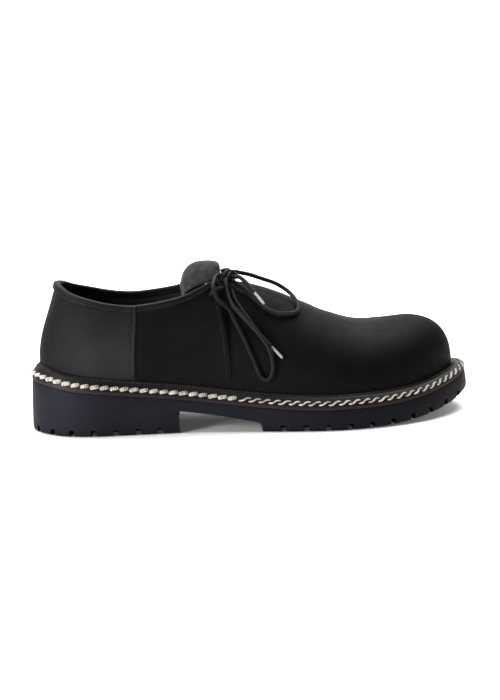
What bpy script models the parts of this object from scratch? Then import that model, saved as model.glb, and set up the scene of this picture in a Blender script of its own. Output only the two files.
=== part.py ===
"""A low traditional shoe for the right foot: a leather upper on a sewn welt and a lugged rubber sole.

Metres, +Z up. The toe points along +X and the outer side of the foot is at -Y. The shoe stands on
z = 0 with the middle of its sole over the origin. Every piece is worked out from one outline of the
sole, one seat line and one table of sections, so that the pieces follow each other.
"""

import math
from collections import namedtuple

import bmesh
import bpy
from mathutils import Vector

# Sole, seen from above and from the side
SOLE_LENGTH = 0.306
BALL_WIDTH = 0.107
WAIST_WIDTH = 0.070
HEEL_WIDTH = 0.075
TOE_SWING = 0.007  # how far the toe's tip lies towards the inner side
HEEL_HEIGHT = 0.0327  # top of the sole over the floor, at the heel
FOREPART_THICKNESS = 0.0136
TOE_SPRING = 0.0132
SIDE_FLARE = 0.0012  # how far the sole's side leans out from its top edge
FLARE_HEIGHT = 0.0052  # where the side is widest, over the tread
TREAD_BEVEL = 0.0016
HEEL_BREAST = 0.101  # front face of the heel, from the back of the sole
ARCH_HEIGHT = 0.0148  # hollow in front of the heel, over the floor
ARCH_STEP = 0.0058  # drop from the arch to the forepart's tread
ARCH_END = 0.157  # where the forepart's tread begins, from the back of the sole
LUG_DEPTH = 0.0042
LUG_PITCH = 0.0152
NOTCH_WIDTH = 0.0036
NOTCH_REACH = 0.0125  # length of an edge notch, in from the sole's side
TREAD_CHANNEL = 0.0045  # width of the channel inside the edge lugs
TREAD_BARS = 7  # short bars of tread along the middle of the forepart

# Welt
WELT_WIDTH = 0.0072
WELT_HEIGHT = 0.0098
WELT_EDGE = 0.0024  # upright outer edge of the welt

# Upper
UPPER_WALL = 0.0022
BACK_HEIGHT = 0.0710  # collar over the seat line, at the back
INSTEP_HEIGHT = 0.0790  # throat over the seat line
TOE_HEIGHT = 0.0490  # crest of the toe over the seat line
COLLAR_WIDTH = 0.0630
COUNTER_SEAM = 0.0725  # from the back of the sole
QUARTER_SEAM = 0.1365  # front edge of the quarters, from the back of the sole
COUNTER_STEP = 0.0009  # how far a lapped edge stands proud of the leather in front of it
QUARTER_STEP = 0.0011
LAP_WIDTH = 0.0150  # a lapped edge dies away over this width
SEAM_RUN = 0.0005  # a lapped edge rises within this length
BINDING_DEPTH = 0.0040
BINDING_THICKNESS = 0.0008
BINDING_SETBACK = 0.0016  # from the binding's ends to the quarters' front corners
LACE_HOLE = 0.0044
HOLE_ALONG = 0.432  # lace hole, as a share of the sole's length
HOLE_UP = 0.830  # lace hole, as a share of the wall's height
INSOLE_THICKNESS = 0.0030

# Tongue
TONGUE_WIDTH = 0.0320
TONGUE_ARCH = 0.0140  # how far the tongue's sides fall below its middle
TONGUE_THICKNESS = 0.0018
TONGUE_TOOTH = 0.0014  # depth of the teeth along its end
TONGUE_TOP = 0.0915  # highest point of the tongue over the seat line

# Laces
LACE_DIAMETER = 0.0029
AGLET_DIAMETER = 0.0020
AGLET_LENGTH = 0.0120
KNOT_LENGTH = 0.0140
KNOT_WIDTH = 0.0120
KNOT_HEIGHT = 0.0098

FIT_GAP = 0.0003  # air between two pieces that touch on the real shoe

# How finely the faceted pieces are divided
HEEL_COLUMNS = 9
QUARTER_COLUMNS = 8
VAMP_COLUMNS = 17
WALL_ROWS = 8
TONGUE_TEETH = 13
CORD_STEP = 2.6  # spacing of a cord's points, in diameters

OUTER, INNER = -1, 1  # the outer side of the foot is at -Y

Outline = namedtuple("Outline", "along outer inner")
OUTLINE = [
    Outline(0.000, 0.00, 0.00),
    Outline(0.030, 0.55 * HEEL_WIDTH / 2, 0.55 * HEEL_WIDTH / 2),
    Outline(0.070, 0.81 * HEEL_WIDTH / 2, 0.82 * HEEL_WIDTH / 2),
    Outline(0.135, 0.97 * HEEL_WIDTH / 2, 0.97 * HEEL_WIDTH / 2),
    Outline(0.240, 1.00 * HEEL_WIDTH / 2, 0.94 * HEEL_WIDTH / 2),
    Outline(0.360, 1.10 * WAIST_WIDTH / 2, 0.90 * WAIST_WIDTH / 2),
    Outline(0.470, 1.24 * WAIST_WIDTH / 2, 0.98 * WAIST_WIDTH / 2),
    Outline(0.560, 0.915 * BALL_WIDTH / 2, 0.79 * BALL_WIDTH / 2),
    Outline(0.660, 1.00 * BALL_WIDTH / 2, 0.95 * BALL_WIDTH / 2),
    Outline(0.740, 0.98 * BALL_WIDTH / 2, 1.00 * BALL_WIDTH / 2),
    Outline(0.820, 0.875 * BALL_WIDTH / 2, 0.97 * BALL_WIDTH / 2),
    Outline(0.900, 0.66 * BALL_WIDTH / 2, 0.84 * BALL_WIDTH / 2),
    Outline(0.960, 0.36 * BALL_WIDTH / 2, 0.60 * BALL_WIDTH / 2),
    Outline(1.000, -TOE_SWING, TOE_SWING),
]

# Seat line: the top of the sole, which the upper stands on. "heel" is the share of the heel's extra
# height and "toe" the share of the toe spring that are left at each place along the sole.
Seat = namedtuple("Seat", "along heel toe")
SEAT = [
    Seat(0.00, 1.100, 0.00),
    Seat(0.10, 0.880, 0.00),
    Seat(0.20, 0.707, 0.00),
    Seat(0.33, 0.471, 0.00),
    Seat(0.45, 0.230, 0.00),
    Seat(0.55, 0.076, 0.00),
    Seat(0.63, 0.005, 0.00),
    Seat(0.71, 0.000, 0.01),
    Seat(0.80, 0.000, 0.08),
    Seat(0.88, 0.000, 0.29),
    Seat(0.95, 0.000, 0.65),
    Seat(1.00, 0.000, 1.00),
]

# The welt's width, and its height against the upper, from the back of the heel to the tip of the toe
Welt = namedtuple("Welt", "along width height")
WELT = [
    Welt(0.00, 0.84 * WELT_WIDTH, 1.26 * WELT_HEIGHT),
    Welt(0.20, 0.88 * WELT_WIDTH, 1.06 * WELT_HEIGHT),
    Welt(0.45, 1.00 * WELT_WIDTH, 1.00 * WELT_HEIGHT),
    Welt(0.70, 1.02 * WELT_WIDTH, 0.98 * WELT_HEIGHT),
    Welt(0.90, 1.14 * WELT_WIDTH, 0.86 * WELT_HEIGHT),
    Welt(1.00, 1.28 * WELT_WIDTH, 0.70 * WELT_HEIGHT),
]

# The welt's profile from its outer edge inwards: "edge" is the share of its upright edge's height and
# "slope" the share of the rise from that edge to the upper
Profile = namedtuple("Profile", "across edge slope")
WELT_PROFILE = [
    Profile(0.00, 0.0, 0.00),
    Profile(0.00, 1.0, 0.00),
    Profile(0.08, 1.0, 0.14),
    Profile(0.50, 1.0, 0.66),
    Profile(0.70, 1.0, 0.78),
    Profile(0.79, 1.0, 0.70),
    Profile(0.86, 1.0, 0.93),
    Profile(1.00, 1.0, 0.96),
    Profile(1.00, 0.0, 0.00),
]

# Sections of the upper from the back of the heel to the tip of the toe, by the place of their foot
# along the sole. "top" is the place of the collar or of the vamp's crest, "height" its height over
# the seat line, "half" half the collar's opening and "lean" the crest's offset to the inner side.
# "rise", "crown" and "drop" shape the wall between foot and top, and "bulge" swells it outwards.
Section = namedtuple("Section", "foot top height half lean rise crown drop bulge")
SEAM_FOOT = QUARTER_SEAM / SOLE_LENGTH
HALF_COLLAR = COLLAR_WIDTH / 2
OPEN_SECTIONS = [
    Section(0.000, 0.068, 0.978 * BACK_HEIGHT, 0.00 * HALF_COLLAR, 0.00, 0.35, 0.34, 0.36, 0.0010),
    Section(0.016, 0.078, 0.964 * BACK_HEIGHT, 0.44 * HALF_COLLAR, 0.00, 0.35, 0.30, 0.36, 0.0016),
    Section(0.055, 0.105, 0.922 * BACK_HEIGHT, 0.74 * HALF_COLLAR, 0.00, 0.36, 0.24, 0.36, 0.0026),
    Section(0.110, 0.144, 0.890 * BACK_HEIGHT, 0.92 * HALF_COLLAR, 0.00, 0.38, 0.20, 0.36, 0.0032),
    Section(0.170, 0.192, 0.862 * BACK_HEIGHT, 0.99 * HALF_COLLAR, 0.00, 0.40, 0.20, 0.36, 0.0034),
    Section(0.234, 0.245, 0.866 * BACK_HEIGHT, 1.00 * HALF_COLLAR, 0.00, 0.42, 0.26, 0.36, 0.0034),
    Section(0.310, 0.312, 0.928 * BACK_HEIGHT, 0.93 * HALF_COLLAR, 0.00, 0.45, 0.40, 0.34, 0.0032),
    Section(0.372, 0.355, 0.990 * BACK_HEIGHT, 0.82 * HALF_COLLAR, 0.00, 0.48, 0.46, 0.30, 0.0028),
    Section(0.415, 0.388, 1.065 * BACK_HEIGHT, 0.73 * HALF_COLLAR, 0.00, 0.50, 0.48, 0.26, 0.0024),
    Section(SEAM_FOOT, 0.416, 1.020 * INSTEP_HEIGHT, 0.60 * HALF_COLLAR, 0.00, 0.52, 0.50, 0.18, 0.0022),
]
CLOSED_SECTIONS = [
    Section(SEAM_FOOT, 0.445, 1.005 * INSTEP_HEIGHT, 0.0, 0.000, 0.52, 0.60, 0.0, 0.0022),
    Section(0.500, 0.494, 0.995 * INSTEP_HEIGHT, 0.0, 0.010, 0.52, 0.60, 0.0, 0.0022),
    Section(0.560, 0.548, 0.945 * INSTEP_HEIGHT, 0.0, 0.020, 0.52, 0.60, 0.0, 0.0024),
    Section(0.620, 0.610, 0.852 * INSTEP_HEIGHT, 0.0, 0.040, 0.52, 0.60, 0.0, 0.0026),
    Section(0.690, 0.680, 0.728 * INSTEP_HEIGHT, 0.0, 0.060, 0.54, 0.60, 0.0, 0.0026),
    Section(0.760, 0.740, 1.045 * TOE_HEIGHT, 0.0, 0.075, 0.58, 0.60, 0.0, 0.0026),
    Section(0.840, 0.790, 1.023 * TOE_HEIGHT, 0.0, 0.085, 0.62, 0.62, 0.0, 0.0024),
    Section(0.910, 0.825, 1.023 * TOE_HEIGHT, 0.0, 0.090, 0.66, 0.64, 0.0, 0.0020),
    Section(0.965, 0.845, 1.021 * TOE_HEIGHT, 0.0, 0.095, 0.68, 0.66, 0.0, 0.0012),
    Section(1.000, 0.855, 1.018 * TOE_HEIGHT, 0.0, 0.100, 0.68, 0.68, 0.0, 0.0006),
]


# The tongue from its front end, under the vamp, to its free end. "place" is a share of the sole's
# length, "height" the height of its middle over the seat line, "half" and "fall" shares of its
# half width and of its arch.
Tongue = namedtuple("Tongue", "place height half fall")
TONGUE = [
    Tongue(0.526, 0.804 * TONGUE_TOP, 0.74, 0.34),
    Tongue(0.480, 0.820 * TONGUE_TOP, 0.72, 0.44),
    Tongue(0.446, 0.826 * TONGUE_TOP, 0.62, 0.50),
    Tongue(0.436, 0.856 * TONGUE_TOP, 0.48, 0.50),
    Tongue(0.429, 0.908 * TONGUE_TOP, 0.42, 0.42),
    Tongue(0.430, 0.958 * TONGUE_TOP, 0.42, 0.40),
    Tongue(0.438, 0.990 * TONGUE_TOP, 0.50, 0.42),
    Tongue(0.430, 1.010 * TONGUE_TOP, 0.68, 0.62),
    Tongue(0.411, 1.010 * TONGUE_TOP, 0.88, 0.88),
    Tongue(0.388, 0.995 * TONGUE_TOP, 0.96, 1.00),
    Tongue(0.370, 0.962 * TONGUE_TOP, 1.00, 1.00),
    Tongue(0.356, 0.905 * TONGUE_TOP, 0.98, 0.90),
    Tongue(0.348, 0.825 * TONGUE_TOP, 0.94, 0.74),
]

# Routes of the free laces: "side" is the side of the shoe, "along" and "up" a place on the upper's
# wall as shares of the sole's length and of the wall's height, and "off" the distance out of it.
Lay = namedtuple("Lay", "side along up off")
KNOT = Lay(OUTER, 0.452, 0.835, 0.0062)
OUTER_LOOP = [
    Lay(OUTER, 0.4351, 0.891, 0.0076),
    Lay(OUTER, 0.4374, 0.797, 0.0070),
    Lay(OUTER, 0.4457, 0.693, 0.0052),
    Lay(OUTER, 0.4472, 0.559, 0.0034),
    Lay(OUTER, 0.4569, 0.479, 0.0022),
    Lay(OUTER, 0.4734, 0.363, 0.0020),
    Lay(OUTER, 0.4832, 0.290, 0.0020),
    Lay(OUTER, 0.4925, 0.222, 0.0020),
    Lay(OUTER, 0.5000, 0.165, 0.0021),
    Lay(OUTER, 0.5050, 0.122, 0.0022),
    Lay(OUTER, 0.5130, 0.084, 0.0024),
    Lay(OUTER, 0.5255, 0.078, 0.0024),
    Lay(OUTER, 0.5350, 0.118, 0.0024),
    Lay(OUTER, 0.5385, 0.168, 0.0024),
    Lay(OUTER, 0.5373, 0.221, 0.0026),
    Lay(OUTER, 0.5317, 0.283, 0.0042),
    Lay(OUTER, 0.5167, 0.345, 0.0056),
    Lay(OUTER, 0.5032, 0.390, 0.0060),
    Lay(OUTER, 0.4867, 0.440, 0.0060),
    Lay(OUTER, 0.4710, 0.500, 0.0060),
    Lay(OUTER, 0.4575, 0.562, 0.0062),
    Lay(OUTER, 0.4500, 0.660, 0.0068),
]
INNER_LOOP = [
    Lay(OUTER, 0.487, 1.000, 0.0062),
    Lay(OUTER, 0.504, 1.000, 0.0062),
    Lay(OUTER, 0.534, 1.000, 0.0054),
    Lay(OUTER, 0.568, 1.000, 0.0052),
    Lay(OUTER, 0.595, 0.940, 0.0036),
    Lay(OUTER, 0.607, 0.802, 0.0026),
    Lay(OUTER, 0.611, 0.698, 0.0022),
    Lay(OUTER, 0.603, 0.623, 0.0020),
    Lay(OUTER, 0.583, 0.581, 0.0020),
    Lay(OUTER, 0.556, 0.556, 0.0020),
    Lay(OUTER, 0.532, 0.585, 0.0020),
    Lay(OUTER, 0.508, 0.650, 0.0022),
    Lay(OUTER, 0.490, 0.735, 0.0028),
]
OUTER_END = [
    Lay(OUTER, 0.470, 0.600, 0.0024),
    Lay(OUTER, 0.492, 0.464, 0.0020),
    Lay(OUTER, 0.515, 0.362, 0.0020),
    Lay(OUTER, 0.536, 0.301, 0.0020),
]
OUTER_AGLET = Lay(OUTER, 0.564, 0.215, 0.0020)
INNER_END = [
    Lay(OUTER, 0.4960, 0.735, 0.0070),
    Lay(OUTER, 0.5080, 0.678, 0.0062),
]
INNER_AGLET = Lay(OUTER, 0.5364, 0.580, 0.0050)

# The laces from the knot to the two holes
OUTER_BAR = [
    Lay(OUTER, 0.4470, 0.790, 0.0034),
    Lay(OUTER, 0.4445, 0.840, 0.0032),
]
INNER_BAR = [
    Lay(INNER, 0.4580, 0.970, 0.0028),
    Lay(INNER, 0.4530, 0.920, 0.0028),
    Lay(INNER, 0.4445, 0.840, 0.0030),
]

# Where each lace leaves the knot, as a direction from its middle: to the toe, to the inner side and up
Leave = namedtuple("Leave", "fore aside rise")
LEAVE_OUTER_LOOP = Leave(-0.74, -0.62, 0.18)
RETURN_OUTER_LOOP = Leave(-0.10, -0.98, -0.16)
LEAVE_INNER_LOOP = Leave(0.70, 0.68, 0.22)
RETURN_INNER_LOOP = Leave(0.78, -0.40, -0.48)
LEAVE_OUTER_END = Leave(0.32, -0.68, -0.66)
LEAVE_INNER_END = Leave(0.93, -0.32, -0.04)
LEAVE_OUTER_BAR = Leave(-0.66, -0.66, -0.36)
LEAVE_INNER_BAR = Leave(0.25, 0.95, -0.10)


def smooth(rows, key, value, at, flat_ends=True):
    """Reads a table's column between its rows, on a curve that passes smoothly through each row."""
    places = [getattr(row, key) for row in rows]
    values = [getattr(row, value) for row in rows]
    return smooth_values(places, values, at, flat_ends)


def smooth_values(places, values, at, flat_ends=True):
    """A cubic through the values, with each slope taken from the two neighbours."""
    last = len(places) - 1
    at = min(max(at, places[0]), places[last])
    i = max(k for k in range(last) if places[k] <= at or k == 0)

    def slope(k):
        if flat_ends and k in (0, last):
            return 0.0
        a, b = max(k - 1, 0), min(k + 1, last)
        return (values[b] - values[a]) / (places[b] - places[a])

    run = places[i + 1] - places[i]
    t = (at - places[i]) / run
    return (
        (2 * t**3 - 3 * t**2 + 1) * values[i]
        + (t**3 - 2 * t**2 + t) * run * slope(i)
        + (3 * t**2 - 2 * t**3) * values[i + 1]
        + (t**3 - t**2) * run * slope(i + 1)
    )


def angle_of(along):
    """Angle round the outline, from 0 at the heel's back to pi at the toe's tip, for a share of the length."""
    return math.acos(max(-1.0, min(1.0, 1 - 2 * along)))


def along_of(angle):
    return (1 - math.cos(angle)) / 2


def side_and_angle(around):
    """Splits a place round the outline, from 0 to 2 pi, into its side and its angle from the heel."""
    around = around % (2 * math.pi)
    if around <= math.pi:
        return OUTER, around
    return INNER, 2 * math.pi - around


def raw_outline(around):
    side, angle = side_and_angle(around)
    places = [angle_of(row.along) for row in OUTLINE]
    widths = [row.outer if side == OUTER else row.inner for row in OUTLINE]
    return Vector(((along_of(angle) - 0.5) * SOLE_LENGTH, side * smooth_values(places, widths, angle, False)))


def outline_middle():
    """The outline's middle across the foot, which is moved onto the X axis."""
    ys = [raw_outline(math.pi * k / 90).y for k in range(180)]
    return (max(ys) + min(ys)) / 2


MIDDLE = outline_middle()


def outward(around):
    """The direction out of the sole's edge, seen from above."""
    step = 0.01
    tangent = raw_outline(around + step) - raw_outline(around - step)
    return Vector((tangent.y, -tangent.x)).normalized()


def sole_edge(around, inset=0.0):
    """A point of the sole's outline, seen from above, moved in by inset."""
    return raw_outline(around) - Vector((0.0, MIDDLE)) - outward(around) * inset


def share_of(x):
    return x / SOLE_LENGTH + 0.5


def toe_lift(x):
    """Height of the sole's underside over the floor, which only the toe spring gives it."""
    return TOE_SPRING * max(0.0, smooth(SEAT, "along", "toe", share_of(x)))


def seat(x):
    """Height of the sole's top over the floor."""
    heel = smooth(SEAT, "along", "heel", share_of(x))
    return FOREPART_THICKNESS + (HEEL_HEIGHT - FOREPART_THICKNESS) * heel + toe_lift(x)


def welt_size(around, key):
    """The welt's width or height at a place round the outline."""
    _, angle = side_and_angle(around)
    places = [angle_of(row.along) for row in WELT]
    return smooth_values(places, [getattr(row, key) for row in WELT], angle)


def column_angles():
    """Angles of the sections from heel to toe, with two close together at each lapped seam."""
    counter, quarter = angle_of(COUNTER_SEAM / SOLE_LENGTH), angle_of(SEAM_FOOT)
    run = angle_of(SEAM_FOOT + SEAM_RUN / SOLE_LENGTH) - quarter
    angles = [counter * k / HEEL_COLUMNS for k in range(HEEL_COLUMNS + 1)]
    angles += [counter + run + (quarter - counter - run) * k / QUARTER_COLUMNS for k in range(QUARTER_COLUMNS + 1)]
    angles += [quarter + run + (math.pi - quarter - run) * k / VAMP_COLUMNS for k in range(VAMP_COLUMNS + 1)]
    return angles


ANGLES = column_angles()
AROUND = ANGLES + [2 * math.pi - angle for angle in reversed(ANGLES[1:-1])]
OPEN_COLUMNS = HEEL_COLUMNS + QUARTER_COLUMNS + 2  # columns of one side that end at the collar


def mirror_column(column):
    """The column at the same angle on the other side."""
    return -column % len(AROUND)


def is_open(column):
    return min(column, mirror_column(column)) < OPEN_COLUMNS


def section_value(angle, open_part, key):
    rows = OPEN_SECTIONS if open_part else CLOSED_SECTIONS
    places = [angle_of(row.foot) for row in rows]
    return smooth_values(places, [getattr(row, key) for row in rows], angle)


def wall_curve(column):
    """The upper's wall at one column, on its middle surface: a list of points from foot to top."""
    around = AROUND[column]
    side, angle = side_and_angle(around)
    open_part = is_open(column)

    def read(key):
        return section_value(angle, open_part, key)

    foot = sole_edge(around, SIDE_FLARE + welt_size(around, "width"))
    base = seat(foot.x)
    start = Vector((foot.x, foot.y, base + welt_size(around, "height")))
    top_x = (read("top") - 0.5) * SOLE_LENGTH
    top = Vector((top_x, read("lean") * BALL_WIDTH + side * read("half") - MIDDLE, seat(top_x) + read("height")))
    rise = top.z - start.z
    across = Vector((top.x - start.x, top.y - start.y, 0.0))
    swell = outward(around).to_3d() * read("bulge")
    lower = start + Vector((0.0, 0.0, rise * read("rise"))) + swell
    upper = top - across * read("crown") - Vector((0.0, 0.0, rise * read("drop")))

    def bezier(t):
        return (
            start * (1 - t) ** 3 + lower * 3 * t * (1 - t) ** 2 + upper * 3 * t**2 * (1 - t) + top * t**3
        )

    t_band = 1.0
    while (bezier(t_band) - top).length < BINDING_DEPTH + FIT_GAP:
        t_band -= 0.002
    points = [Vector((foot.x, foot.y, base + FIT_GAP))]
    points += [bezier(t_band * k / WALL_ROWS) for k in range(WALL_ROWS + 1)]
    return points + [top]


def lap(column):
    """How far the leather stands proud at a column, just behind a lapped edge."""
    first = min(column, mirror_column(column))
    x = along_of(ANGLES[first]) * SOLE_LENGTH
    if first <= HEEL_COLUMNS:
        edge, step = COUNTER_SEAM, COUNTER_STEP
    elif first < OPEN_COLUMNS:
        edge, step = QUARTER_SEAM, QUARTER_STEP
    else:
        return 0.0
    share = min(max((edge - x) / LAP_WIDTH, 0.0), 1.0)
    return step * (1 - share * share * (3 - 2 * share))


def face_outwards(bm):
    """Turns the faces of a closed body outwards."""
    bmesh.ops.recalc_face_normals(bm, faces=bm.faces)
    if bm.calc_volume(signed=True) < 0:
        bmesh.ops.reverse_faces(bm, faces=bm.faces)


def add_object(name, bm, material):
    face_outwards(bm)
    mesh = bpy.data.meshes.new(name)
    bm.to_mesh(mesh)
    bm.free()
    mesh.shade_smooth()
    mesh.set_sharp_from_angle(angle=math.radians(35))
    mesh.materials.append(material)
    obj = bpy.data.objects.new(name, mesh)
    bpy.context.scene.collection.objects.link(obj)
    return obj


def make_material(name, colour, roughness, metallic=0.0):
    material = bpy.data.materials.new(name)
    material.use_nodes = True
    shader = material.node_tree.nodes["Principled BSDF"]
    shader.inputs["Base Color"].default_value = (*colour, 1.0)
    shader.inputs["Roughness"].default_value = roughness
    shader.inputs["Metallic"].default_value = metallic
    return material


def ring_loft(bm, rings, closed_section=False):
    """Joins rings of the same number of points with quads. Returns the vertices of each ring."""
    made = [[bm.verts.new(point) for point in ring] for ring in rings]
    pairs = list(zip(made, made[1:]))
    if closed_section:
        pairs.append((made[0], made[-1]))
    for low, high in pairs:
        for k in range(len(low)):
            n = (k + 1) % len(low)
            bm.faces.new((low[k], low[n], high[n], high[k]))
    return made


def cap_across(bm, ring):
    """Closes a ring of columns with strips from the outer side to the inner side."""
    half = len(ring) // 2
    for k in range(half):
        a, b = ring[k], ring[k + 1]
        c, d = ring[mirror_index(k + 1, ring)], ring[mirror_index(k, ring)]
        corners = [v for i, v in enumerate((a, b, c, d)) if v not in (a, b, c, d)[:i]]
        bm.faces.new(corners)


def mirror_index(k, ring):
    return -k % len(ring)


def edge_ring(inset, height, welt_share=0.0):
    """A ring round the sole, moved in by inset and a share of the welt, whose height is a function of its x."""
    points = [sole_edge(around, inset + welt_share * welt_size(around, "width")) for around in AROUND]
    return [Vector((p.x, p.y, height(p.x))) for p in points]


def box_between(bm, start, end, width, bottom, top):
    """A box that runs from start to end, seen from above."""
    along = (end - start).normalized()
    aside = Vector((-along.y, along.x)) * width / 2
    corners = [start - aside, end - aside, end + aside, start + aside]
    low = [bm.verts.new((c.x, c.y, bottom)) for c in corners]
    high = [bm.verts.new((c.x, c.y, top)) for c in corners]
    bm.faces.new(low)
    bm.faces.new(high)
    for k in range(4):
        n = (k + 1) % 4
        bm.faces.new((low[k], low[n], high[n], high[k]))


def make_cutter(name, bm, target):
    """A hidden solid that a Boolean takes away from the target."""
    bmesh.ops.recalc_face_normals(bm, faces=bm.faces)
    mesh = bpy.data.meshes.new(name)
    bm.to_mesh(mesh)
    bm.free()
    cutter = bpy.data.objects.new(name, mesh)
    cutter.hide_render = True
    cutter.display_type = "WIRE"
    bpy.context.scene.collection.objects.link(cutter)
    cut = target.modifiers.new(name, "BOOLEAN")
    cut.operation = "DIFFERENCE"
    cut.solver = "EXACT"
    cut.object = cutter
    return cutter


def make_outsole(material):
    """The rubber sole and heel, moulded in one: a flared block with the arch and the tread cut out."""
    bm = bmesh.new()
    rings = [
        edge_ring(TREAD_BEVEL, toe_lift),
        edge_ring(0.0, lambda x: toe_lift(x) + FLARE_HEIGHT),
        edge_ring(SIDE_FLARE, seat),
        edge_ring(SIDE_FLARE, seat, 1.0),
        edge_ring(SIDE_FLARE + UPPER_WALL + FIT_GAP, seat, 1.0),
    ]
    made = ring_loft(bm, rings)
    cap_across(bm, made[0])
    cap_across(bm, made[-1])
    outsole = add_object("outsole", bm, material)
    cut_arch(outsole)
    cut_edge_notches(outsole)
    cut_middle_tread(outsole)
    return outsole


def cut_arch(outsole):
    """The hollow between the heel's breast and the forepart, which falls towards the ball."""
    bm = bmesh.new()
    reach = BALL_WIDTH
    start, end = HEEL_BREAST - SOLE_LENGTH / 2, ARCH_END - SOLE_LENGTH / 2
    run = end - start
    below = -LUG_DEPTH
    profile = [
        (start, below),
        (start, 0.90 * ARCH_HEIGHT),
        (start + 0.03 * run, ARCH_HEIGHT),
        (start + 0.40 * run, ARCH_HEIGHT + 0.30 * (ARCH_STEP - ARCH_HEIGHT)),
        (start + 0.75 * run, ARCH_HEIGHT + 0.68 * (ARCH_STEP - ARCH_HEIGHT)),
        (end, ARCH_STEP),
        (end, below),
    ]
    sides = [[bm.verts.new((x, y, z)) for x, z in profile] for y in (-reach, reach)]
    bm.faces.new(sides[0])
    bm.faces.new(sides[1])
    for k in range(len(profile)):
        n = (k + 1) % len(profile)
        bm.faces.new((sides[0][k], sides[0][n], sides[1][n], sides[1][k]))
    make_cutter("arch_cutter", bm, outsole)


def notch_places(start, end):
    """Places round the outline, one lug pitch apart, between two angles on the way through the toe or heel."""
    step = 0.002
    places, travelled = [], LUG_PITCH / 2
    around = start
    while around < end:
        travelled += (raw_outline(around + step) - raw_outline(around)).length
        around += step
        if travelled >= LUG_PITCH:
            travelled -= LUG_PITCH
            places.append(around)
    return places


def cut_edge_notches(outsole):
    """Short grooves in from the side, which leave the lugs of the tread's edge."""
    breast, arch = angle_of(HEEL_BREAST / SOLE_LENGTH), angle_of(ARCH_END / SOLE_LENGTH)
    margin = 0.04
    places = notch_places(arch + margin, 2 * math.pi - arch - margin)
    places += notch_places(2 * math.pi - breast + margin, 2 * math.pi + breast - margin)
    bm = bmesh.new()
    for around in places:
        outer = sole_edge(around, -NOTCH_WIDTH)
        inner = sole_edge(around, NOTCH_REACH)
        lift = toe_lift(sole_edge(around).x)
        box_between(bm, inner, outer, NOTCH_WIDTH, lift - LUG_DEPTH, lift + LUG_DEPTH)
    make_cutter("edge_notches", bm, outsole)


def cut_middle_tread(outsole):
    """Grooves across the middle of the forepart and heel, inside the edge lugs."""
    bm = bmesh.new()
    inset = NOTCH_REACH + TREAD_CHANNEL
    for k in range(TREAD_BARS):
        place = ARCH_END + LUG_PITCH * (k + 0.5)
        add_cross_groove(bm, place, inset)
    for k in range(4):
        place = HEEL_BREAST - LUG_PITCH * (k + 1)
        add_cross_groove(bm, place, inset)
    make_cutter("middle_grooves", bm, outsole)


def add_cross_groove(bm, place, inset):
    """One groove across the sole at a place along it, between the two rows of edge lugs."""
    angle = angle_of(place / SOLE_LENGTH)
    start, end = sole_edge(angle, inset), sole_edge(2 * math.pi - angle, inset)
    lift = toe_lift((start.x + end.x) / 2)
    box_between(bm, start, end, TREAD_CHANNEL, lift - LUG_DEPTH, lift + 0.8 * LUG_DEPTH)


def make_welt(material):
    """The sewn welt round the upper's foot: an upright edge, a slope that carries the stitching, and a lip."""
    rings = []
    for step in WELT_PROFILE:
        ring = []
        for around in AROUND:
            point = sole_edge(around, SIDE_FLARE + step.across * (welt_size(around, "width") - FIT_GAP))
            slope = step.slope * (welt_size(around, "height") - WELT_EDGE)
            ring.append(Vector((point.x, point.y, seat(point.x) + FIT_GAP + step.edge * WELT_EDGE + slope)))
        rings.append(ring)
    bm = bmesh.new()
    ring_loft(bm, rings, closed_section=True)
    return add_object("welt", bm, material)


def wall_surfaces():
    """The upper's outer and inner points as [column][row], with the outward direction at each."""
    curves = [wall_curve(column) for column in range(len(AROUND))]
    bm = bmesh.new()
    grid = [[bm.verts.new(point) for point in curve] for curve in curves]
    for column in range(len(grid) // 2 + 1, len(grid)):
        if not is_open(column):
            bm.verts.remove(grid[column][-1])
            grid[column][-1] = grid[mirror_column(column)][-1]
    for column in range(len(grid)):
        n = (column + 1) % len(grid)
        for row in range(len(grid[0]) - 1):
            corners = [grid[column][row], grid[n][row], grid[n][row + 1], grid[column][row + 1]]
            bm.faces.new([v for i, v in enumerate(corners) if v not in corners[:i]])
    bm.normal_update()
    normals = [[vert.normal.copy() for vert in line] for line in grid]
    centre = Vector((0.0, 0.0, curves[0][0].z))
    if normals[0][2].dot(curves[0][2] - centre) < 0:
        normals = [[-normal for normal in line] for line in normals]
    bm.free()
    outer, inner = [], []
    for column, curve in enumerate(curves):
        flat = outward(AROUND[column]).to_3d()
        outer.append([])
        inner.append([])
        for row, point in enumerate(curve):
            if row < 2:
                normals[column][row] = flat
            normal = normals[column][row]
            proud = lap(column) if row >= 2 else 0.0
            outer[column].append(point + normal * proud)
            inner[column].append(point - normal * UPPER_WALL)
        inner[column][0].z = seat(inner[column][0].x) + FIT_GAP
    return outer, inner, normals


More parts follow.
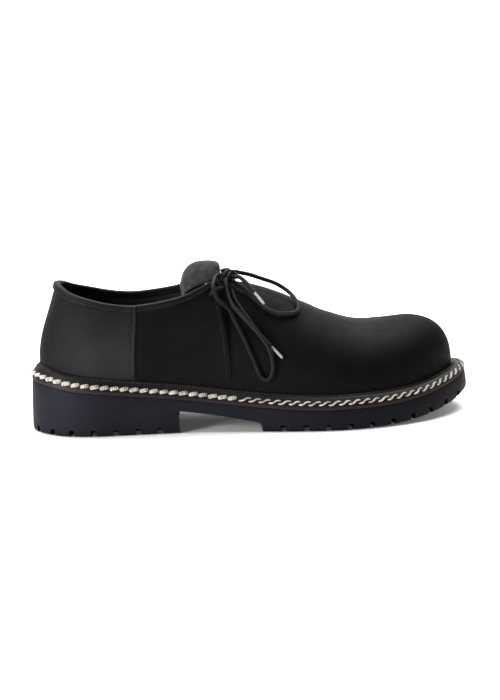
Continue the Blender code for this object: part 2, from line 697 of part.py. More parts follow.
def make_upper(material, surfaces):
    """The whole leather upper as one hollow wall, open at the collar and underneath."""
    outer, inner, _ = surfaces
    bm = bmesh.new()
    skins = []
    for points in (outer, inner):
        skin = [[bm.verts.new(point) for point in line] for line in points]
        for column in range(len(skin) // 2 + 1, len(skin)):
            if not is_open(column):
                bm.verts.remove(skin[column][-1])
                skin[column][-1] = skin[mirror_column(column)][-1]
        skins.append(skin)
    columns, rows = len(outer), len(outer[0])
    for skin in skins:
        for column in range(columns):
            n = (column + 1) % columns
            for row in range(rows - 1):
                corners = [skin[column][row], skin[n][row], skin[n][row + 1], skin[column][row + 1]]
                bm.faces.new([v for i, v in enumerate(corners) if v not in corners[:i]])
    for column in range(columns):
        n = (column + 1) % columns
        bm.faces.new((skins[0][column][0], skins[0][n][0], skins[1][n][0], skins[1][column][0]))
        if is_open(column) or is_open(n):
            bm.faces.new((skins[0][column][-1], skins[0][n][-1], skins[1][n][-1], skins[1][column][-1]))
    upper = add_object("upper", bm, material)
    cut_lace_holes(upper, surfaces)
    return upper


def hole_place(side, surfaces):
    """Centre and direction of a lace hole, near the front top corner of a quarter."""
    centre = on_wall(surfaces, Lay(side, HOLE_ALONG, HOLE_UP, 0.0))
    out = on_wall(surfaces, Lay(side, HOLE_ALONG, HOLE_UP, UPPER_WALL))
    return centre, (out - centre).normalized()


def cut_lace_holes(upper, surfaces):
    """One punched hole in the front corner of each quarter."""
    bm = bmesh.new()
    for side in (OUTER, INNER):
        centre, normal = hole_place(side, surfaces)
        turn = normal.to_track_quat("Z", "Y").to_matrix().to_4x4()
        turn.translation = centre
        bmesh.ops.create_cone(
            bm, cap_ends=True, segments=10, radius1=LACE_HOLE / 2, radius2=LACE_HOLE / 2,
            depth=5 * UPPER_WALL, matrix=turn,
        )
    make_cutter("lace_hole_cutter", bm, upper)


def make_binding(material, surfaces):
    """The tape folded over the collar's edge, from one front corner round the heel to the other."""
    outer, inner, normals = surfaces
    columns = [mirror_column(k) for k in range(OPEN_COLUMNS - 1, 0, -1)] + list(range(OPEN_COLUMNS))
    near, far = 1.8 * FIT_GAP, 1.8 * FIT_GAP + BINDING_THICKNESS
    inside = 2.2 * FIT_GAP
    rings = []
    for column in columns:
        normal = normals[column][-1]
        out_top, out_low = outer[column][-1], outer[column][-2]
        in_top, in_low = inner[column][-1], inner[column][-2]
        down = (out_low - out_top).normalized()
        share = BINDING_DEPTH / (out_low - out_top).length
        out_low = out_top.lerp(out_low, share)
        in_low = in_top.lerp(in_low, share)
        ring = [
            out_low + normal * far,
            out_top + normal * far,
            out_top.lerp(in_top, 0.25) - down * far,
            out_top.lerp(in_top, 0.75) - down * far,
            in_top - normal * (inside + BINDING_THICKNESS),
            in_low - normal * (inside + BINDING_THICKNESS),
            in_low - normal * inside,
            in_top - normal * inside - down * near,
            out_top + normal * near - down * near,
            out_low + normal * near,
        ]
        rings.append(ring)
    for end, beside in ((0, 1), (-1, -2)):
        share = BINDING_SETBACK / (rings[end][1] - rings[beside][1]).length
        rings[end] = [point.lerp(neighbour, share) for point, neighbour in zip(rings[end], rings[beside])]
    bm = bmesh.new()
    made = ring_loft(bm, rings)
    for ring in (made[0], made[-1]):
        for corners in ((0, 1, 8, 9), (1, 2, 8), (2, 3, 7, 8), (3, 4, 7), (4, 5, 6, 7)):
            bm.faces.new([ring[corner] for corner in corners])
    return add_object("collar_binding", bm, material)


def make_tongue(material):
    """The tongue: an arched strip under the vamp, whose pinked end curls over between the quarters."""
    rows = []
    steps = 2
    for k in range(steps * (len(TONGUE) - 1) + 1):
        at = k / steps
        place, height, half, fall = (
            smooth_values(range(len(TONGUE)), [getattr(row, key) for row in TONGUE], at, False)
            for key in Tongue._fields
        )
        x = (place - 0.5) * SOLE_LENGTH
        rows.append((Vector((x, -MIDDLE, seat(x) + height)), half * TONGUE_WIDTH / 2, fall * TONGUE_ARCH))
    across = 2 * TONGUE_TEETH
    skins = [[], []]
    for k, (middle, half, fall) in enumerate(rows):
        ahead, behind = rows[max(k - 1, 0)][0], rows[min(k + 1, len(rows) - 1)][0]
        forward = (ahead - behind).normalized()
        normal = Vector((-forward.z, 0.0, forward.x))
        for j in range(across + 1):
            u = 2 * j / across - 1
            point = middle + Vector((0.0, u * half, -fall * u * u))
            if k == len(rows) - 1 and j % 2:
                point = point - forward * TONGUE_TOOTH
            lean = Vector((normal.x, 2 * fall * u / half * normal.z, normal.z)).normalized()
            skins[0].append(point)
            skins[1].append(point - lean * TONGUE_THICKNESS)
    bm = bmesh.new()
    columns = across + 1
    upper, lower = ([bm.verts.new(point) for point in skin] for skin in skins)
    for skin in (upper, lower):
        for k in range(len(rows) - 1):
            for j in range(across):
                a = k * columns + j
                bm.faces.new((skin[a], skin[a + 1], skin[a + columns + 1], skin[a + columns]))
    rim = list(range(columns)) + [k * columns + across for k in range(1, len(rows))]
    rim += [(len(rows) - 1) * columns + j for j in range(across - 1, -1, -1)]
    rim += [k * columns for k in range(len(rows) - 2, 0, -1)]
    for a, b in zip(rim, rim[1:] + rim[:1]):
        bm.faces.new((upper[a], upper[b], lower[b], lower[a]))
    return add_object("tongue", bm, material)


def on_wall(surfaces, lay):
    """The point that a row of a lace's route stands for."""
    outer, _, normals = surfaces
    angle = angle_of(lay.along)
    k = max(i for i in range(len(ANGLES) - 1) if ANGLES[i] <= angle)
    t = (angle - ANGLES[k]) / (ANGLES[k + 1] - ANGLES[k])
    rise = 1 + lay.up * (len(outer[0]) - 2)
    row = min(int(rise), len(outer[0]) - 2)
    s = rise - row
    columns = (k, k + 1) if lay.side == OUTER else (mirror_column(k), mirror_column(k + 1))

    def blend(grid):
        low = grid[columns[0]][row].lerp(grid[columns[1]][row], t)
        high = grid[columns[0]][row + 1].lerp(grid[columns[1]][row + 1], t)
        return low.lerp(high, s)

    return blend(outer) + blend(normals).normalized() * lay.off


def along_route(route, spacing):
    """Evenly spaced points on a smooth curve through the route's points."""
    dense = []
    for k in range(len(route) - 1):
        before, start, end, after = (route[min(max(k + j, 0), len(route) - 1)] for j in (-1, 0, 1, 2))
        for n in range(16):
            t = n / 16
            pull = (end - before) * 0.5
            push = (after - start) * 0.5
            dense.append(
                start * (2 * t**3 - 3 * t**2 + 1) + pull * (t**3 - 2 * t**2 + t)
                + end * (3 * t**2 - 2 * t**3) + push * (t**3 - t**2)
            )
    dense.append(route[-1])
    total = sum((b - a).length for a, b in zip(dense, dense[1:]))
    count = max(2, round(total / spacing))
    points, travelled = [dense[0]], 0.0
    for a, b in zip(dense, dense[1:]):
        travelled += (b - a).length
        if travelled >= total * len(points) / count and len(points) < count:
            points.append(b)
    return points + [dense[-1]]


def make_cord(name, points, diameter, material):
    """A round cord through the points."""
    curve = bpy.data.curves.new(name, "CURVE")
    curve.dimensions = "3D"
    curve.bevel_depth = diameter / 2
    curve.bevel_resolution = 2
    curve.use_fill_caps = True
    spline = curve.splines.new("POLY")
    spline.points.add(len(points) - 1)
    for slot, point in zip(spline.points, points):
        slot.co = (*point, 1.0)
    curve.materials.append(material)
    obj = bpy.data.objects.new(name, curve)
    bpy.context.scene.collection.objects.link(obj)
    return obj


def knot_lead(surfaces, leave):
    """The first two points of a lace that leaves the knot's surface squarely, in about this direction."""
    direction = Vector(leave).normalized()
    halves = (KNOT_LENGTH / 2, KNOT_WIDTH / 2, KNOT_HEIGHT / 2)
    reach = 1 / math.sqrt(sum((part / half) ** 2 for part, half in zip(direction, halves)))
    normal = Vector([part / half**2 for part, half in zip(direction, halves)]).normalized()
    start = on_wall(surfaces, KNOT) + direction * reach + normal * FIT_GAP
    return [start, start + normal * LACE_DIAMETER]


def lace_points(surfaces, leave, lays, back=None, head=()):
    """A lace's points, from the knot through the table's places, and back to the knot for a loop."""
    start = knot_lead(surfaces, leave)
    route = [start[1]] + [on_wall(surfaces, lay) for lay in lays] + list(head)
    if back is None:
        return start[:1] + along_route(route, CORD_STEP * LACE_DIAMETER)
    finish = knot_lead(surfaces, back)
    route.append(finish[1])
    return start[:1] + along_route(route, CORD_STEP * LACE_DIAMETER) + finish[:1]


def make_knot(material, surfaces):
    bm = bmesh.new()
    bmesh.ops.create_uvsphere(bm, u_segments=16, v_segments=10, radius=1.0)
    centre = on_wall(surfaces, KNOT)
    for vert in bm.verts:
        stretched = vert.co * Vector((KNOT_LENGTH, KNOT_WIDTH, KNOT_HEIGHT)) / 2
        vert.co = centre + stretched
    return add_object("lace_knot", bm, material)


def make_laces(lace, plastic, surfaces):
    """The knot, its two loops and two ends with aglets, and the laces from the knot to the two holes."""
    make_knot(lace, surfaces)
    loops = (
        ("lace_loop_outer", LEAVE_OUTER_LOOP, OUTER_LOOP, RETURN_OUTER_LOOP),
        ("lace_loop_inner", LEAVE_INNER_LOOP, INNER_LOOP, RETURN_INNER_LOOP),
    )
    for name, leave, lays, back in loops:
        make_cord(name, lace_points(surfaces, leave, lays, back), LACE_DIAMETER, lace)
    ends = (
        ("outer", LEAVE_OUTER_END, OUTER_END, OUTER_AGLET),
        ("inner", LEAVE_INNER_END, INNER_END, INNER_AGLET),
    )
    for side, leave, lays, tip in ends:
        points = lace_points(surfaces, leave, lays)
        make_cord(f"lace_end_{side}", points, LACE_DIAMETER, lace)
        toward = (points[-1] - points[-2]).normalized()
        aim = (on_wall(surfaces, tip) - points[-1]).normalized()
        start = points[-1] + toward * 1.5 * FIT_GAP
        tip_end = start + (toward * 2 + aim).normalized() * AGLET_LENGTH
        make_cord(f"aglet_{side}", [start, tip_end], AGLET_DIAMETER, plastic)
    bars = (
        ("lace_bar_outer", OUTER, OUTER_BAR, LEAVE_OUTER_BAR),
        ("lace_bar_inner", INNER, INNER_BAR, LEAVE_INNER_BAR),
    )
    for name, side, lays, leave in bars:
        hole, normal = hole_place(side, surfaces)
        through = [hole + normal * LACE_DIAMETER, hole - normal * (UPPER_WALL + LACE_DIAMETER)]
        points = lace_points(surfaces, leave, lays, head=through[:1])
        make_cord(name, points + through[1:], LACE_DIAMETER, lace)


def make_insole(material, surfaces):
    """The plate inside the upper's foot, on top of the sole."""
    _, inner, normals = surfaces
    bm = bmesh.new()
    rings = []
    for height in (FIT_GAP, FIT_GAP + INSOLE_THICKNESS):
        ring = []
        for column, line in enumerate(inner):
            point = line[0] - normals[column][0] * FIT_GAP
            ring.append(Vector((point.x, point.y, seat(point.x) + height)))
        rings.append(ring)
    made = ring_loft(bm, rings)
    cap_across(bm, made[0])
    cap_across(bm, made[-1])
    return add_object("insole", bm, material)


def build():
    for obj in list(bpy.data.objects):
        bpy.data.objects.remove(obj)
    leather = make_material("black_leather", (0.020, 0.020, 0.022), 0.45)
    rubber = make_material("black_rubber", (0.024, 0.024, 0.030), 0.60)
    welt_leather = make_material("welt_leather", (0.045, 0.028, 0.022), 0.55)
    tape = make_material("binding_tape", (0.018, 0.018, 0.020), 0.60)
    suede = make_material("tongue_suede", (0.060, 0.060, 0.062), 0.90)
    lace = make_material("lace_cord", (0.018, 0.018, 0.018), 0.80)
    plastic = make_material("aglet_plastic", (0.55, 0.55, 0.54), 0.40)
    lining = make_material("insole_lining", (0.050, 0.045, 0.042), 0.80)
    surfaces = wall_surfaces()
    make_outsole(rubber)
    make_welt(welt_leather)
    make_upper(leather, surfaces)
    make_binding(tape, surfaces)
    make_insole(lining, surfaces)
    make_tongue(suede)
    make_laces(lace, plastic, surfaces)


build()
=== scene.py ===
import math
from collections import namedtuple

import bmesh
import bpy
import numpy as np
from mathutils import Matrix, Vector


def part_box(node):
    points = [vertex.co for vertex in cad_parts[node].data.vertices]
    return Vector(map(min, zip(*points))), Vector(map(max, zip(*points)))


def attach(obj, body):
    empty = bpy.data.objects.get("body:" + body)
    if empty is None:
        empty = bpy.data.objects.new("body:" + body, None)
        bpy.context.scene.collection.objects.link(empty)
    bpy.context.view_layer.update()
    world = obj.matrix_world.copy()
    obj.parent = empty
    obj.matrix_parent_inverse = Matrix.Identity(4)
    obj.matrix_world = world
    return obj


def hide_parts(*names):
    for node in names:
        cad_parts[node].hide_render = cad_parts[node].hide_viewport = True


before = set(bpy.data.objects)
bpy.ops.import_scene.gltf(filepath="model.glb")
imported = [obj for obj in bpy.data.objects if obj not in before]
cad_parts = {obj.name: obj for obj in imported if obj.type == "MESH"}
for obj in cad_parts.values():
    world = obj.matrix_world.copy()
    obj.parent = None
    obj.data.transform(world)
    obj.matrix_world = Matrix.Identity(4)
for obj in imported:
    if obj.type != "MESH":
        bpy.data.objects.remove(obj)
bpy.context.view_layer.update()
mm = 0.001
outerSide, innerSide = -1, 1  # the outer side of the foot is at -Y
scene = bpy.context.scene

# ---- the last: the shapes that the whole shoe follows ----
soleLow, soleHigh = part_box("outsole")
last = {
    "length": soleHigh.x - soleLow.x,
    "ball": 107 * mm,
    "waist": 70 * mm,
    "heel": 75 * mm,
    "toeSwing": 7 * mm,
    "heelHeight": 32.7 * mm,
    "forepart": 13.6 * mm,
    "toeSpring": 13.2 * mm,
    "sideFlare": 1.2 * mm,
    "weltWidth": 7.2 * mm,
    "weltHeight": 9.8 * mm,
    "backHeight": 71 * mm,
    "instepHeight": 79 * mm,
    "toeHeight": 49 * mm,
    "collar": 63 * mm,
    "counterSeam": 72.5 * mm,
    "quarterSeam": 136.5 * mm,
    "seamRun": 0.5 * mm,
    "wall": 2.2 * mm,
    "counterStep": 0.9 * mm,
    "quarterStep": 1.1 * mm,
    "lapWidth": 15 * mm,
    "bindingDepth": 4.0 * mm,
    "gap": 0.3 * mm,
}
halfHeel, halfWaist, halfBall = last["heel"] / 2, last["waist"] / 2, last["ball"] / 2
seamFoot = last["quarterSeam"] / last["length"]

Outline = namedtuple("Outline", "along outer inner")
outlineRows = [Outline(*row) for row in (
    (0.000, 0.00, 0.00),
    (0.030, 0.55 * halfHeel, 0.55 * halfHeel),
    (0.070, 0.81 * halfHeel, 0.82 * halfHeel),
    (0.135, 0.97 * halfHeel, 0.97 * halfHeel),
    (0.240, 1.00 * halfHeel, 0.94 * halfHeel),
    (0.360, 1.10 * halfWaist, 0.90 * halfWaist),
    (0.470, 1.24 * halfWaist, 0.98 * halfWaist),
    (0.560, 0.915 * halfBall, 0.79 * halfBall),
    (0.660, 1.00 * halfBall, 0.95 * halfBall),
    (0.740, 0.98 * halfBall, 1.00 * halfBall),
    (0.820, 0.875 * halfBall, 0.97 * halfBall),
    (0.900, 0.66 * halfBall, 0.84 * halfBall),
    (0.960, 0.36 * halfBall, 0.60 * halfBall),
    (1.000, -last["toeSwing"], last["toeSwing"]),
)]
Seat = namedtuple("Seat", "along heel toe")
seatRows = [Seat(*row) for row in (
    (0.00, 1.100, 0.00), (0.10, 0.880, 0.00), (0.20, 0.707, 0.00), (0.33, 0.471, 0.00),
    (0.45, 0.230, 0.00), (0.55, 0.076, 0.00), (0.63, 0.005, 0.00), (0.71, 0.000, 0.01),
    (0.80, 0.000, 0.08), (0.88, 0.000, 0.29), (0.95, 0.000, 0.65), (1.00, 0.000, 1.00),
)]
Welt = namedtuple("Welt", "along width height")
weltRows = [Welt(*row) for row in (
    (0.00, 0.84 * last["weltWidth"], 1.26 * last["weltHeight"]),
    (0.20, 0.88 * last["weltWidth"], 1.06 * last["weltHeight"]),
    (0.45, 1.00 * last["weltWidth"], 1.00 * last["weltHeight"]),
    (0.70, 1.02 * last["weltWidth"], 0.98 * last["weltHeight"]),
    (0.90, 1.14 * last["weltWidth"], 0.86 * last["weltHeight"]),
    (1.00, 1.28 * last["weltWidth"], 0.70 * last["weltHeight"]),
)]
back, instep, toe = last["backHeight"], last["instepHeight"], last["toeHeight"]
halfCollar = last["collar"] / 2
Section = namedtuple("Section", "foot top height half lean rise crown drop bulge")
openRows = [Section(*row) for row in (
    (0.000, 0.068, 0.978 * back, 0.00 * halfCollar, 0, 0.35, 0.34, 0.36, 0.0010),
    (0.016, 0.078, 0.964 * back, 0.44 * halfCollar, 0, 0.35, 0.30, 0.36, 0.0016),
    (0.055, 0.105, 0.922 * back, 0.74 * halfCollar, 0, 0.36, 0.24, 0.36, 0.0026),
    (0.110, 0.144, 0.890 * back, 0.92 * halfCollar, 0, 0.38, 0.20, 0.36, 0.0032),
    (0.170, 0.192, 0.862 * back, 0.99 * halfCollar, 0, 0.40, 0.20, 0.36, 0.0034),
    (0.234, 0.245, 0.866 * back, 1.00 * halfCollar, 0, 0.42, 0.26, 0.36, 0.0034),
    (0.310, 0.312, 0.928 * back, 0.93 * halfCollar, 0, 0.45, 0.40, 0.34, 0.0032),
    (0.372, 0.355, 0.990 * back, 0.82 * halfCollar, 0, 0.48, 0.46, 0.30, 0.0028),
    (0.415, 0.388, 1.065 * back, 0.73 * halfCollar, 0, 0.50, 0.48, 0.26, 0.0024),
    (seamFoot, 0.416, 1.020 * instep, 0.60 * halfCollar, 0, 0.52, 0.50, 0.18, 0.0022),
)]
closedRows = [Section(*row) for row in (
    (seamFoot, 0.445, 1.005 * instep, 0, 0.000, 0.52, 0.60, 0, 0.0022),
    (0.500, 0.494, 0.995 * instep, 0, 0.010, 0.52, 0.60, 0, 0.0022),
    (0.560, 0.548, 0.945 * instep, 0, 0.020, 0.52, 0.60, 0, 0.0024),
    (0.620, 0.610, 0.852 * instep, 0, 0.040, 0.52, 0.60, 0, 0.0026),
    (0.690, 0.680, 0.728 * instep, 0, 0.060, 0.54, 0.60, 0, 0.0026),
    (0.760, 0.740, 1.045 * toe, 0, 0.075, 0.58, 0.60, 0, 0.0026),
    (0.840, 0.790, 1.023 * toe, 0, 0.085, 0.62, 0.62, 0, 0.0024),
    (0.910, 0.825, 1.023 * toe, 0, 0.090, 0.66, 0.64, 0, 0.0020),
    (0.965, 0.845, 1.021 * toe, 0, 0.095, 0.68, 0.66, 0, 0.0012),
    (1.000, 0.855, 1.018 * toe, 0, 0.100, 0.68, 0.68, 0, 0.0006),
)]


def smoothValue(places, values, at, flatEnds=True):
    end = len(places) - 1
    at = min(max(at, places[0]), places[end])
    i = max(k for k in range(end) if places[k] <= at or k == 0)

    def slope(k):
        if flatEnds and k in (0, end):
            return 0.0
        a, b = max(k - 1, 0), min(k + 1, end)
        return (values[b] - values[a]) / (places[b] - places[a])

    run = places[i + 1] - places[i]
    t = (at - places[i]) / run
    return (
        (2 * t**3 - 3 * t**2 + 1) * values[i] + (t**3 - 2 * t**2 + t) * run * slope(i)
        + (3 * t**2 - 2 * t**3) * values[i + 1] + (t**3 - t**2) * run * slope(i + 1)
    )


def smoothStep(share):
    share = min(max(share, 0.0), 1.0)
    return share * share * (3 - 2 * share)


def angleOf(along):
    return math.acos(max(-1.0, min(1.0, 1 - 2 * along)))


def alongOf(angle):
    return (1 - math.cos(angle)) / 2


def sideAndAngle(around):
    around = around % (2 * math.pi)
    return (outerSide, around) if around <= math.pi else (innerSide, 2 * math.pi - around)


outlinePlaces = [angleOf(row.along) for row in outlineRows]
outlineWidths = {
    outerSide: [row.outer for row in outlineRows],
    innerSide: [row.inner for row in outlineRows],
}


def rawOutline(around):
    side, angle = sideAndAngle(around)
    half = smoothValue(outlinePlaces, outlineWidths[side], angle, False)
    return Vector(((alongOf(angle) - 0.5) * last["length"], side * half))


outlineYs = [rawOutline(math.pi * k / 90).y for k in range(180)]
soleMiddle = (max(outlineYs) + min(outlineYs)) / 2


def outwardAt(around):
    tangent = rawOutline(around + 0.01) - rawOutline(around - 0.01)
    return Vector((tangent.y, -tangent.x)).normalized()


def soleEdge(around, inset=0.0):
    return rawOutline(around) - Vector((0.0, soleMiddle)) - outwardAt(around) * inset


def seatShare(x, key):
    along = x / last["length"] + 0.5
    return smoothValue([row.along for row in seatRows], [getattr(row, key) for row in seatRows], along)


def toeLift(x):
    return last["toeSpring"] * max(0.0, seatShare(x, "toe"))


def seatHeight(x):
    extra = last["heelHeight"] - last["forepart"]
    return last["forepart"] + extra * seatShare(x, "heel") + toeLift(x)


def weltSize(around, key):
    _, angle = sideAndAngle(around)
    places = [angleOf(row.along) for row in weltRows]
    return smoothValue(places, [getattr(row, key) for row in weltRows], angle)


quarterAngle = angleOf(seamFoot)
vampAngle = angleOf(seamFoot + last["seamRun"] / last["length"])


def wallCurve(side, angle, openPart):
    # the four control points of the upper's wall over one place of the sole's edge
    rows = openRows if openPart else closedRows
    places = [angleOf(row.foot) for row in rows]

    def read(key):
        return smoothValue(places, [getattr(row, key) for row in rows], angle)

    around = angle if side == outerSide else 2 * math.pi - angle
    foot = soleEdge(around, last["sideFlare"] + weltSize(around, "width"))
    start = Vector((foot.x, foot.y, seatHeight(foot.x) + weltSize(around, "height")))
    topX = (read("top") - 0.5) * last["length"]
    topY = read("lean") * last["ball"] + side * read("half") - soleMiddle
    top = Vector((topX, topY, seatHeight(topX) + read("height")))
    rise = top.z - start.z
    across = Vector((top.x - start.x, top.y - start.y, 0.0))
    lower = start + Vector((0, 0, rise * read("rise"))) + outwardAt(around).to_3d() * read("bulge")
    upper = top - across * read("crown") - Vector((0, 0, rise * read("drop")))
    return [start, lower, upper, top]


def blendedCurve(side, angle, mix=None):
    # quarters up to their front edge, vamp after it, and what lies between them by mix
    if mix is None and angle <= quarterAngle:
        return wallCurve(side, angle, True)
    if mix is None and angle >= vampAngle:
        return wallCurve(side, angle, False)
    if mix is None:
        mix = (angle - quarterAngle) / (vampAngle - quarterAngle)
    ends = zip(wallCurve(side, quarterAngle, True), wallCurve(side, vampAngle, False))
    return [a.lerp(b, mix) for a, b in ends]


def curvePoint(curve, t):
    a, b, c, d = curve
    return a * (1 - t) ** 3 + b * 3 * t * (1 - t) ** 2 + c * 3 * t**2 * (1 - t) + d * t**3


def lapHeight(x):
    # how far a lapped edge stands proud, by the place of the wall's foot along the sole
    for panel in ("counter", "quarter"):
        edge = last[panel + "Seam"]
        if x <= edge:
            return last[panel + "Step"] * (1 - smoothStep((edge - x) / last["lapWidth"]))
    return 0.0


def bandShare(curve):
    t = 1.0
    while (curvePoint(curve, t) - curve[3]).length < last["bindingDepth"] + last["gap"]:
        t -= 0.002
    return t


def upShare(t, band):
    # the place up the wall for a curve's parameter; the binding's band takes the top ninth
    return t / band * 8 / 9 if t < band else 8 / 9 + (t - band) / (1 - band) / 9


def onWall(side, along, up, off):
    # a place on the upper's wall: shares of the sole's length and of the wall's height, and a distance out
    angle = angleOf(along)

    def at(a, u):
        curve = blendedCurve(side, a)
        band = bandShare(curve)
        knee = 8 / 9  # the part's own grid of the wall has its last row but one where the binding ends
        t = band * u / knee if u <= knee else band + (1 - band) * (u - knee) / (1 - knee)
        return curvePoint(curve, t)

    step = 0.004
    low, high = (angle - step, angle) if angle <= quarterAngle else (angle, angle + step)
    fore = at(high, up) - at(low, up)
    rise = at(angle, min(up + 0.02, 1.0)) - at(angle, max(min(up, 0.98) - 0.02, 0.0))
    normal = fore.cross(rise).normalized() * -side
    return at(angle, up) + normal * (off + lapHeight(along * last["length"]))


# ---- finishes ----
class Net:
    # a material's node tree: node() makes any node and returns a Wire to one of its outputs
    def __init__(self, name, **fixed):
        self.material = bpy.data.materials.new(name)
        self.material.use_nodes = True
        self.tree = self.material.node_tree
        self.shader = self.tree.nodes["Principled BSDF"]
        for socket, value in fixed.items():
            self.shader.inputs[socket.replace("_", " ")].default_value = value

    def node(self, kind, settings=None, values=None, output=0):
        made = self.tree.nodes.new("ShaderNode" + kind)
        for key, value in (settings or {}).items():
            setattr(made, key, value)
        for key, value in (values or {}).items():
            self.feed(made.inputs[key], value)
        return Wire(self, made.outputs[output])

    def feed(self, socket, value):
        if isinstance(value, Wire):
            self.tree.links.new(value.socket, socket)
        else:
            socket.default_value = value

    def part(self, vector, axis):
        return self.node("SeparateXYZ", None, {0: vector}, output=axis)

    def place(self):
        return self.node("TexCoord", output="Object")

    def alongAndAcross(self):
        # along a cord or strip in metres, and round or across it as a share
        uv = self.node("UVMap")
        return self.part(uv, 0), self.part(uv, 1)

    def noise(self, scale, detail=3.0, roughness=0.5):
        return self.node("TexNoise", None, {
            "Vector": self.place(), "Scale": scale, "Detail": detail, "Roughness": roughness})

    def cells(self, scale):
        return self.node("TexVoronoi", {"feature": "SMOOTH_F1"}, {
            "Vector": self.place(), "Scale": scale, "Smoothness": 0.6})

    def mix(self, factor, first, second):
        values = {0: factor, 6: paint(first), 7: paint(second)}
        return self.node("Mix", {"data_type": "RGBA"}, values, output=2)

    def attribute(self, name):
        return self.node("Attribute", {"attribute_name": name}, output="Fac")

    def bump(self, height, distance, strength):
        return self.node("Bump", None, {"Strength": strength, "Distance": distance, "Height": height})

    def wear(self, **links):
        for socket, value in links.items():
            self.feed(self.shader.inputs[socket.replace("_", " ")], value)
        return self.material

    def finish(self, colour, rough, height, distance, strength):
        return self.wear(Base_Color=colour, Roughness=rough, Normal=self.bump(height, distance, strength))


class Wire:
    def __init__(self, net, socket):
        self.net, self.socket = net, socket

    def math(self, operation, first, second=0.0):
        return self.net.node("Math", {"operation": operation}, {0: first, 1: second})

    def __add__(self, other): return self.math("ADD", self, other)
    def __radd__(self, other): return self.math("ADD", other, self)
    def __sub__(self, other): return self.math("SUBTRACT", self, other)
    def __rsub__(self, other): return self.math("SUBTRACT", other, self)
    def __mul__(self, other): return self.math("MULTIPLY", self, other)
    def __rmul__(self, other): return self.math("MULTIPLY", other, self)
    def __truediv__(self, other): return self.math("DIVIDE", self, other)
    def sine(self): return self.math("SINE", self)
    def clamp(self): return self.math("MINIMUM", self.math("MAXIMUM", self, 0.0), 1.0)
    def within(self, low, high): return ((self - low) / (high - low)).clamp()


def paint(value):
    # a grey, a colour or a wire, as a colour socket takes it
    if isinstance(value, Wire):
        return value
    return (*value, 1.0) if isinstance(value, tuple) else (value, value, value, 1.0)


# lengths along a thread, cord or lip for one turn of its pattern
threadwork = {
    "ply": 1.1 * mm,
    "braid": 2.1 * mm,
    "weltPrick": 1.7 * mm,
}


def makeUpperLeather():
    net = Net("upperLeather", Specular_IOR_Level=0.15)
    grain = net.cells(1250.0)
    fine = net.noise(2600.0, 2.0)
    broad = net.noise(38.0, 4.0, 0.6)
    haze = net.noise(170.0, 3.0, 0.6)
    # painted highlight: the counter's front edge is lightened along a narrow strip behind it
    edge = net.attribute("burnish")
    shade = broad.within(0.35, 0.68)
    base = net.mix(shade, (0.0052, 0.0052, 0.0053), (0.0088, 0.0088, 0.0086))
    along, height = net.part(net.place(), 0), net.part(net.place(), 2)
    # painted highlight: the counter panel is lightened a little all over, and most on the heel's side, below
    # the collar and short of its back edge
    paintedHeelHighlight = along.within(-0.140, -0.112) * (1 - height.within(0.056, 0.092)) * (0.7 + shade * 0.3)
    panel = net.attribute("counterPanel") * (0.10 + paintedHeelHighlight * 0.9)
    base = net.mix(panel, base, (0.037, 0.037, 0.0385))
    # painted shade: the upper is darkened from just behind its middle to the toe
    base = net.mix(along.within(-0.02, 0.06) * 0.7, base, (0.0028, 0.0028, 0.0029))
    colour = net.mix((edge * 0.75).clamp(), base, 0.030)
    rough = 0.62 + (haze - 0.5) * 0.20 + (broad - 0.5) * 0.26 - edge * 0.05
    skin = grain * 0.55 + fine * 0.30 + haze * 0.8
    return net.finish(colour, rough, skin, 0.00016, 0.55)


def makeLining():
    net = Net("liningLeather", Specular_IOR_Level=0.35)
    grain = net.noise(1500.0, 3.0)
    broad = net.noise(60.0, 3.0)
    colour = net.mix(broad.within(0.3, 0.7), (0.020, 0.020, 0.021), (0.034, 0.034, 0.035))
    return net.finish(colour, 0.62 + (broad - 0.5) * 0.15, grain, 0.0001, 0.5)


def makeBindingTape():
    net = Net("bindingTape", Specular_IOR_Level=0.25)
    grain = net.cells(1500.0)
    broad = net.noise(90.0, 3.0)
    colour = net.mix(broad.within(0.35, 0.7), 0.004, 0.009)
    return net.finish(colour, 0.62 + (broad - 0.5) * 0.2, grain, 0.00012, 0.5)


def makeSuede():
    net = Net("tongueSuede", Specular_IOR_Level=0.25, Sheen_Weight=0.35, Sheen_Roughness=0.45)
    nap = net.noise(1300.0, 5.0, 0.7)
    clumps = net.noise(240.0, 4.0, 0.65)
    colour = net.mix(clumps.within(0.32, 0.68), 0.016, 0.050)
    rim = net.attribute("cutEdge")
    colour = net.mix((rim * 0.8).clamp(), colour, 0.006)
    height = nap * 0.7 + clumps * 0.9
    return net.finish(colour, 0.88 + (nap - 0.5) * 0.1, height, 0.0004, 0.9)


def makeWeltLeather():
    net = Net("weltLeather", Specular_IOR_Level=0.45)
    along, across = net.alongAndAcross()
    fibre = net.noise(700.0, 4.0, 0.6)
    broad = net.noise(70.0, 3.0)
    pricks = (along * (2 * math.pi / threadwork["weltPrick"])).sine() * 0.5 + 0.5
    ridge = across.within(0.66, 0.72) * (1 - across.within(0.90, 0.95))
    colour = net.mix(broad.within(0.3, 0.7), (0.0042, 0.0032, 0.0028), (0.0095, 0.0066, 0.0052))
    cut = 1 - across.within(0.005, 0.03)
    colour = net.mix((cut * 0.75).clamp(), colour, (0.023, 0.0098, 0.0085))
    fore = net.part(net.place(), 0).within(-0.07, 0.02)
    # the ridge on the forepart is coloured olive on its crests and left dark in its pricks: its own colour,
    # with painted shade in the pricks
    colour = net.mix((ridge * pricks * 0.55 * fore).clamp(), colour, (0.034, 0.026, 0.016))
    height = fibre * 0.6 + ridge * pricks * 2.2
    return net.finish(colour, 0.52 + (broad - 0.5) * 0.2, height, 0.00025, 0.8)


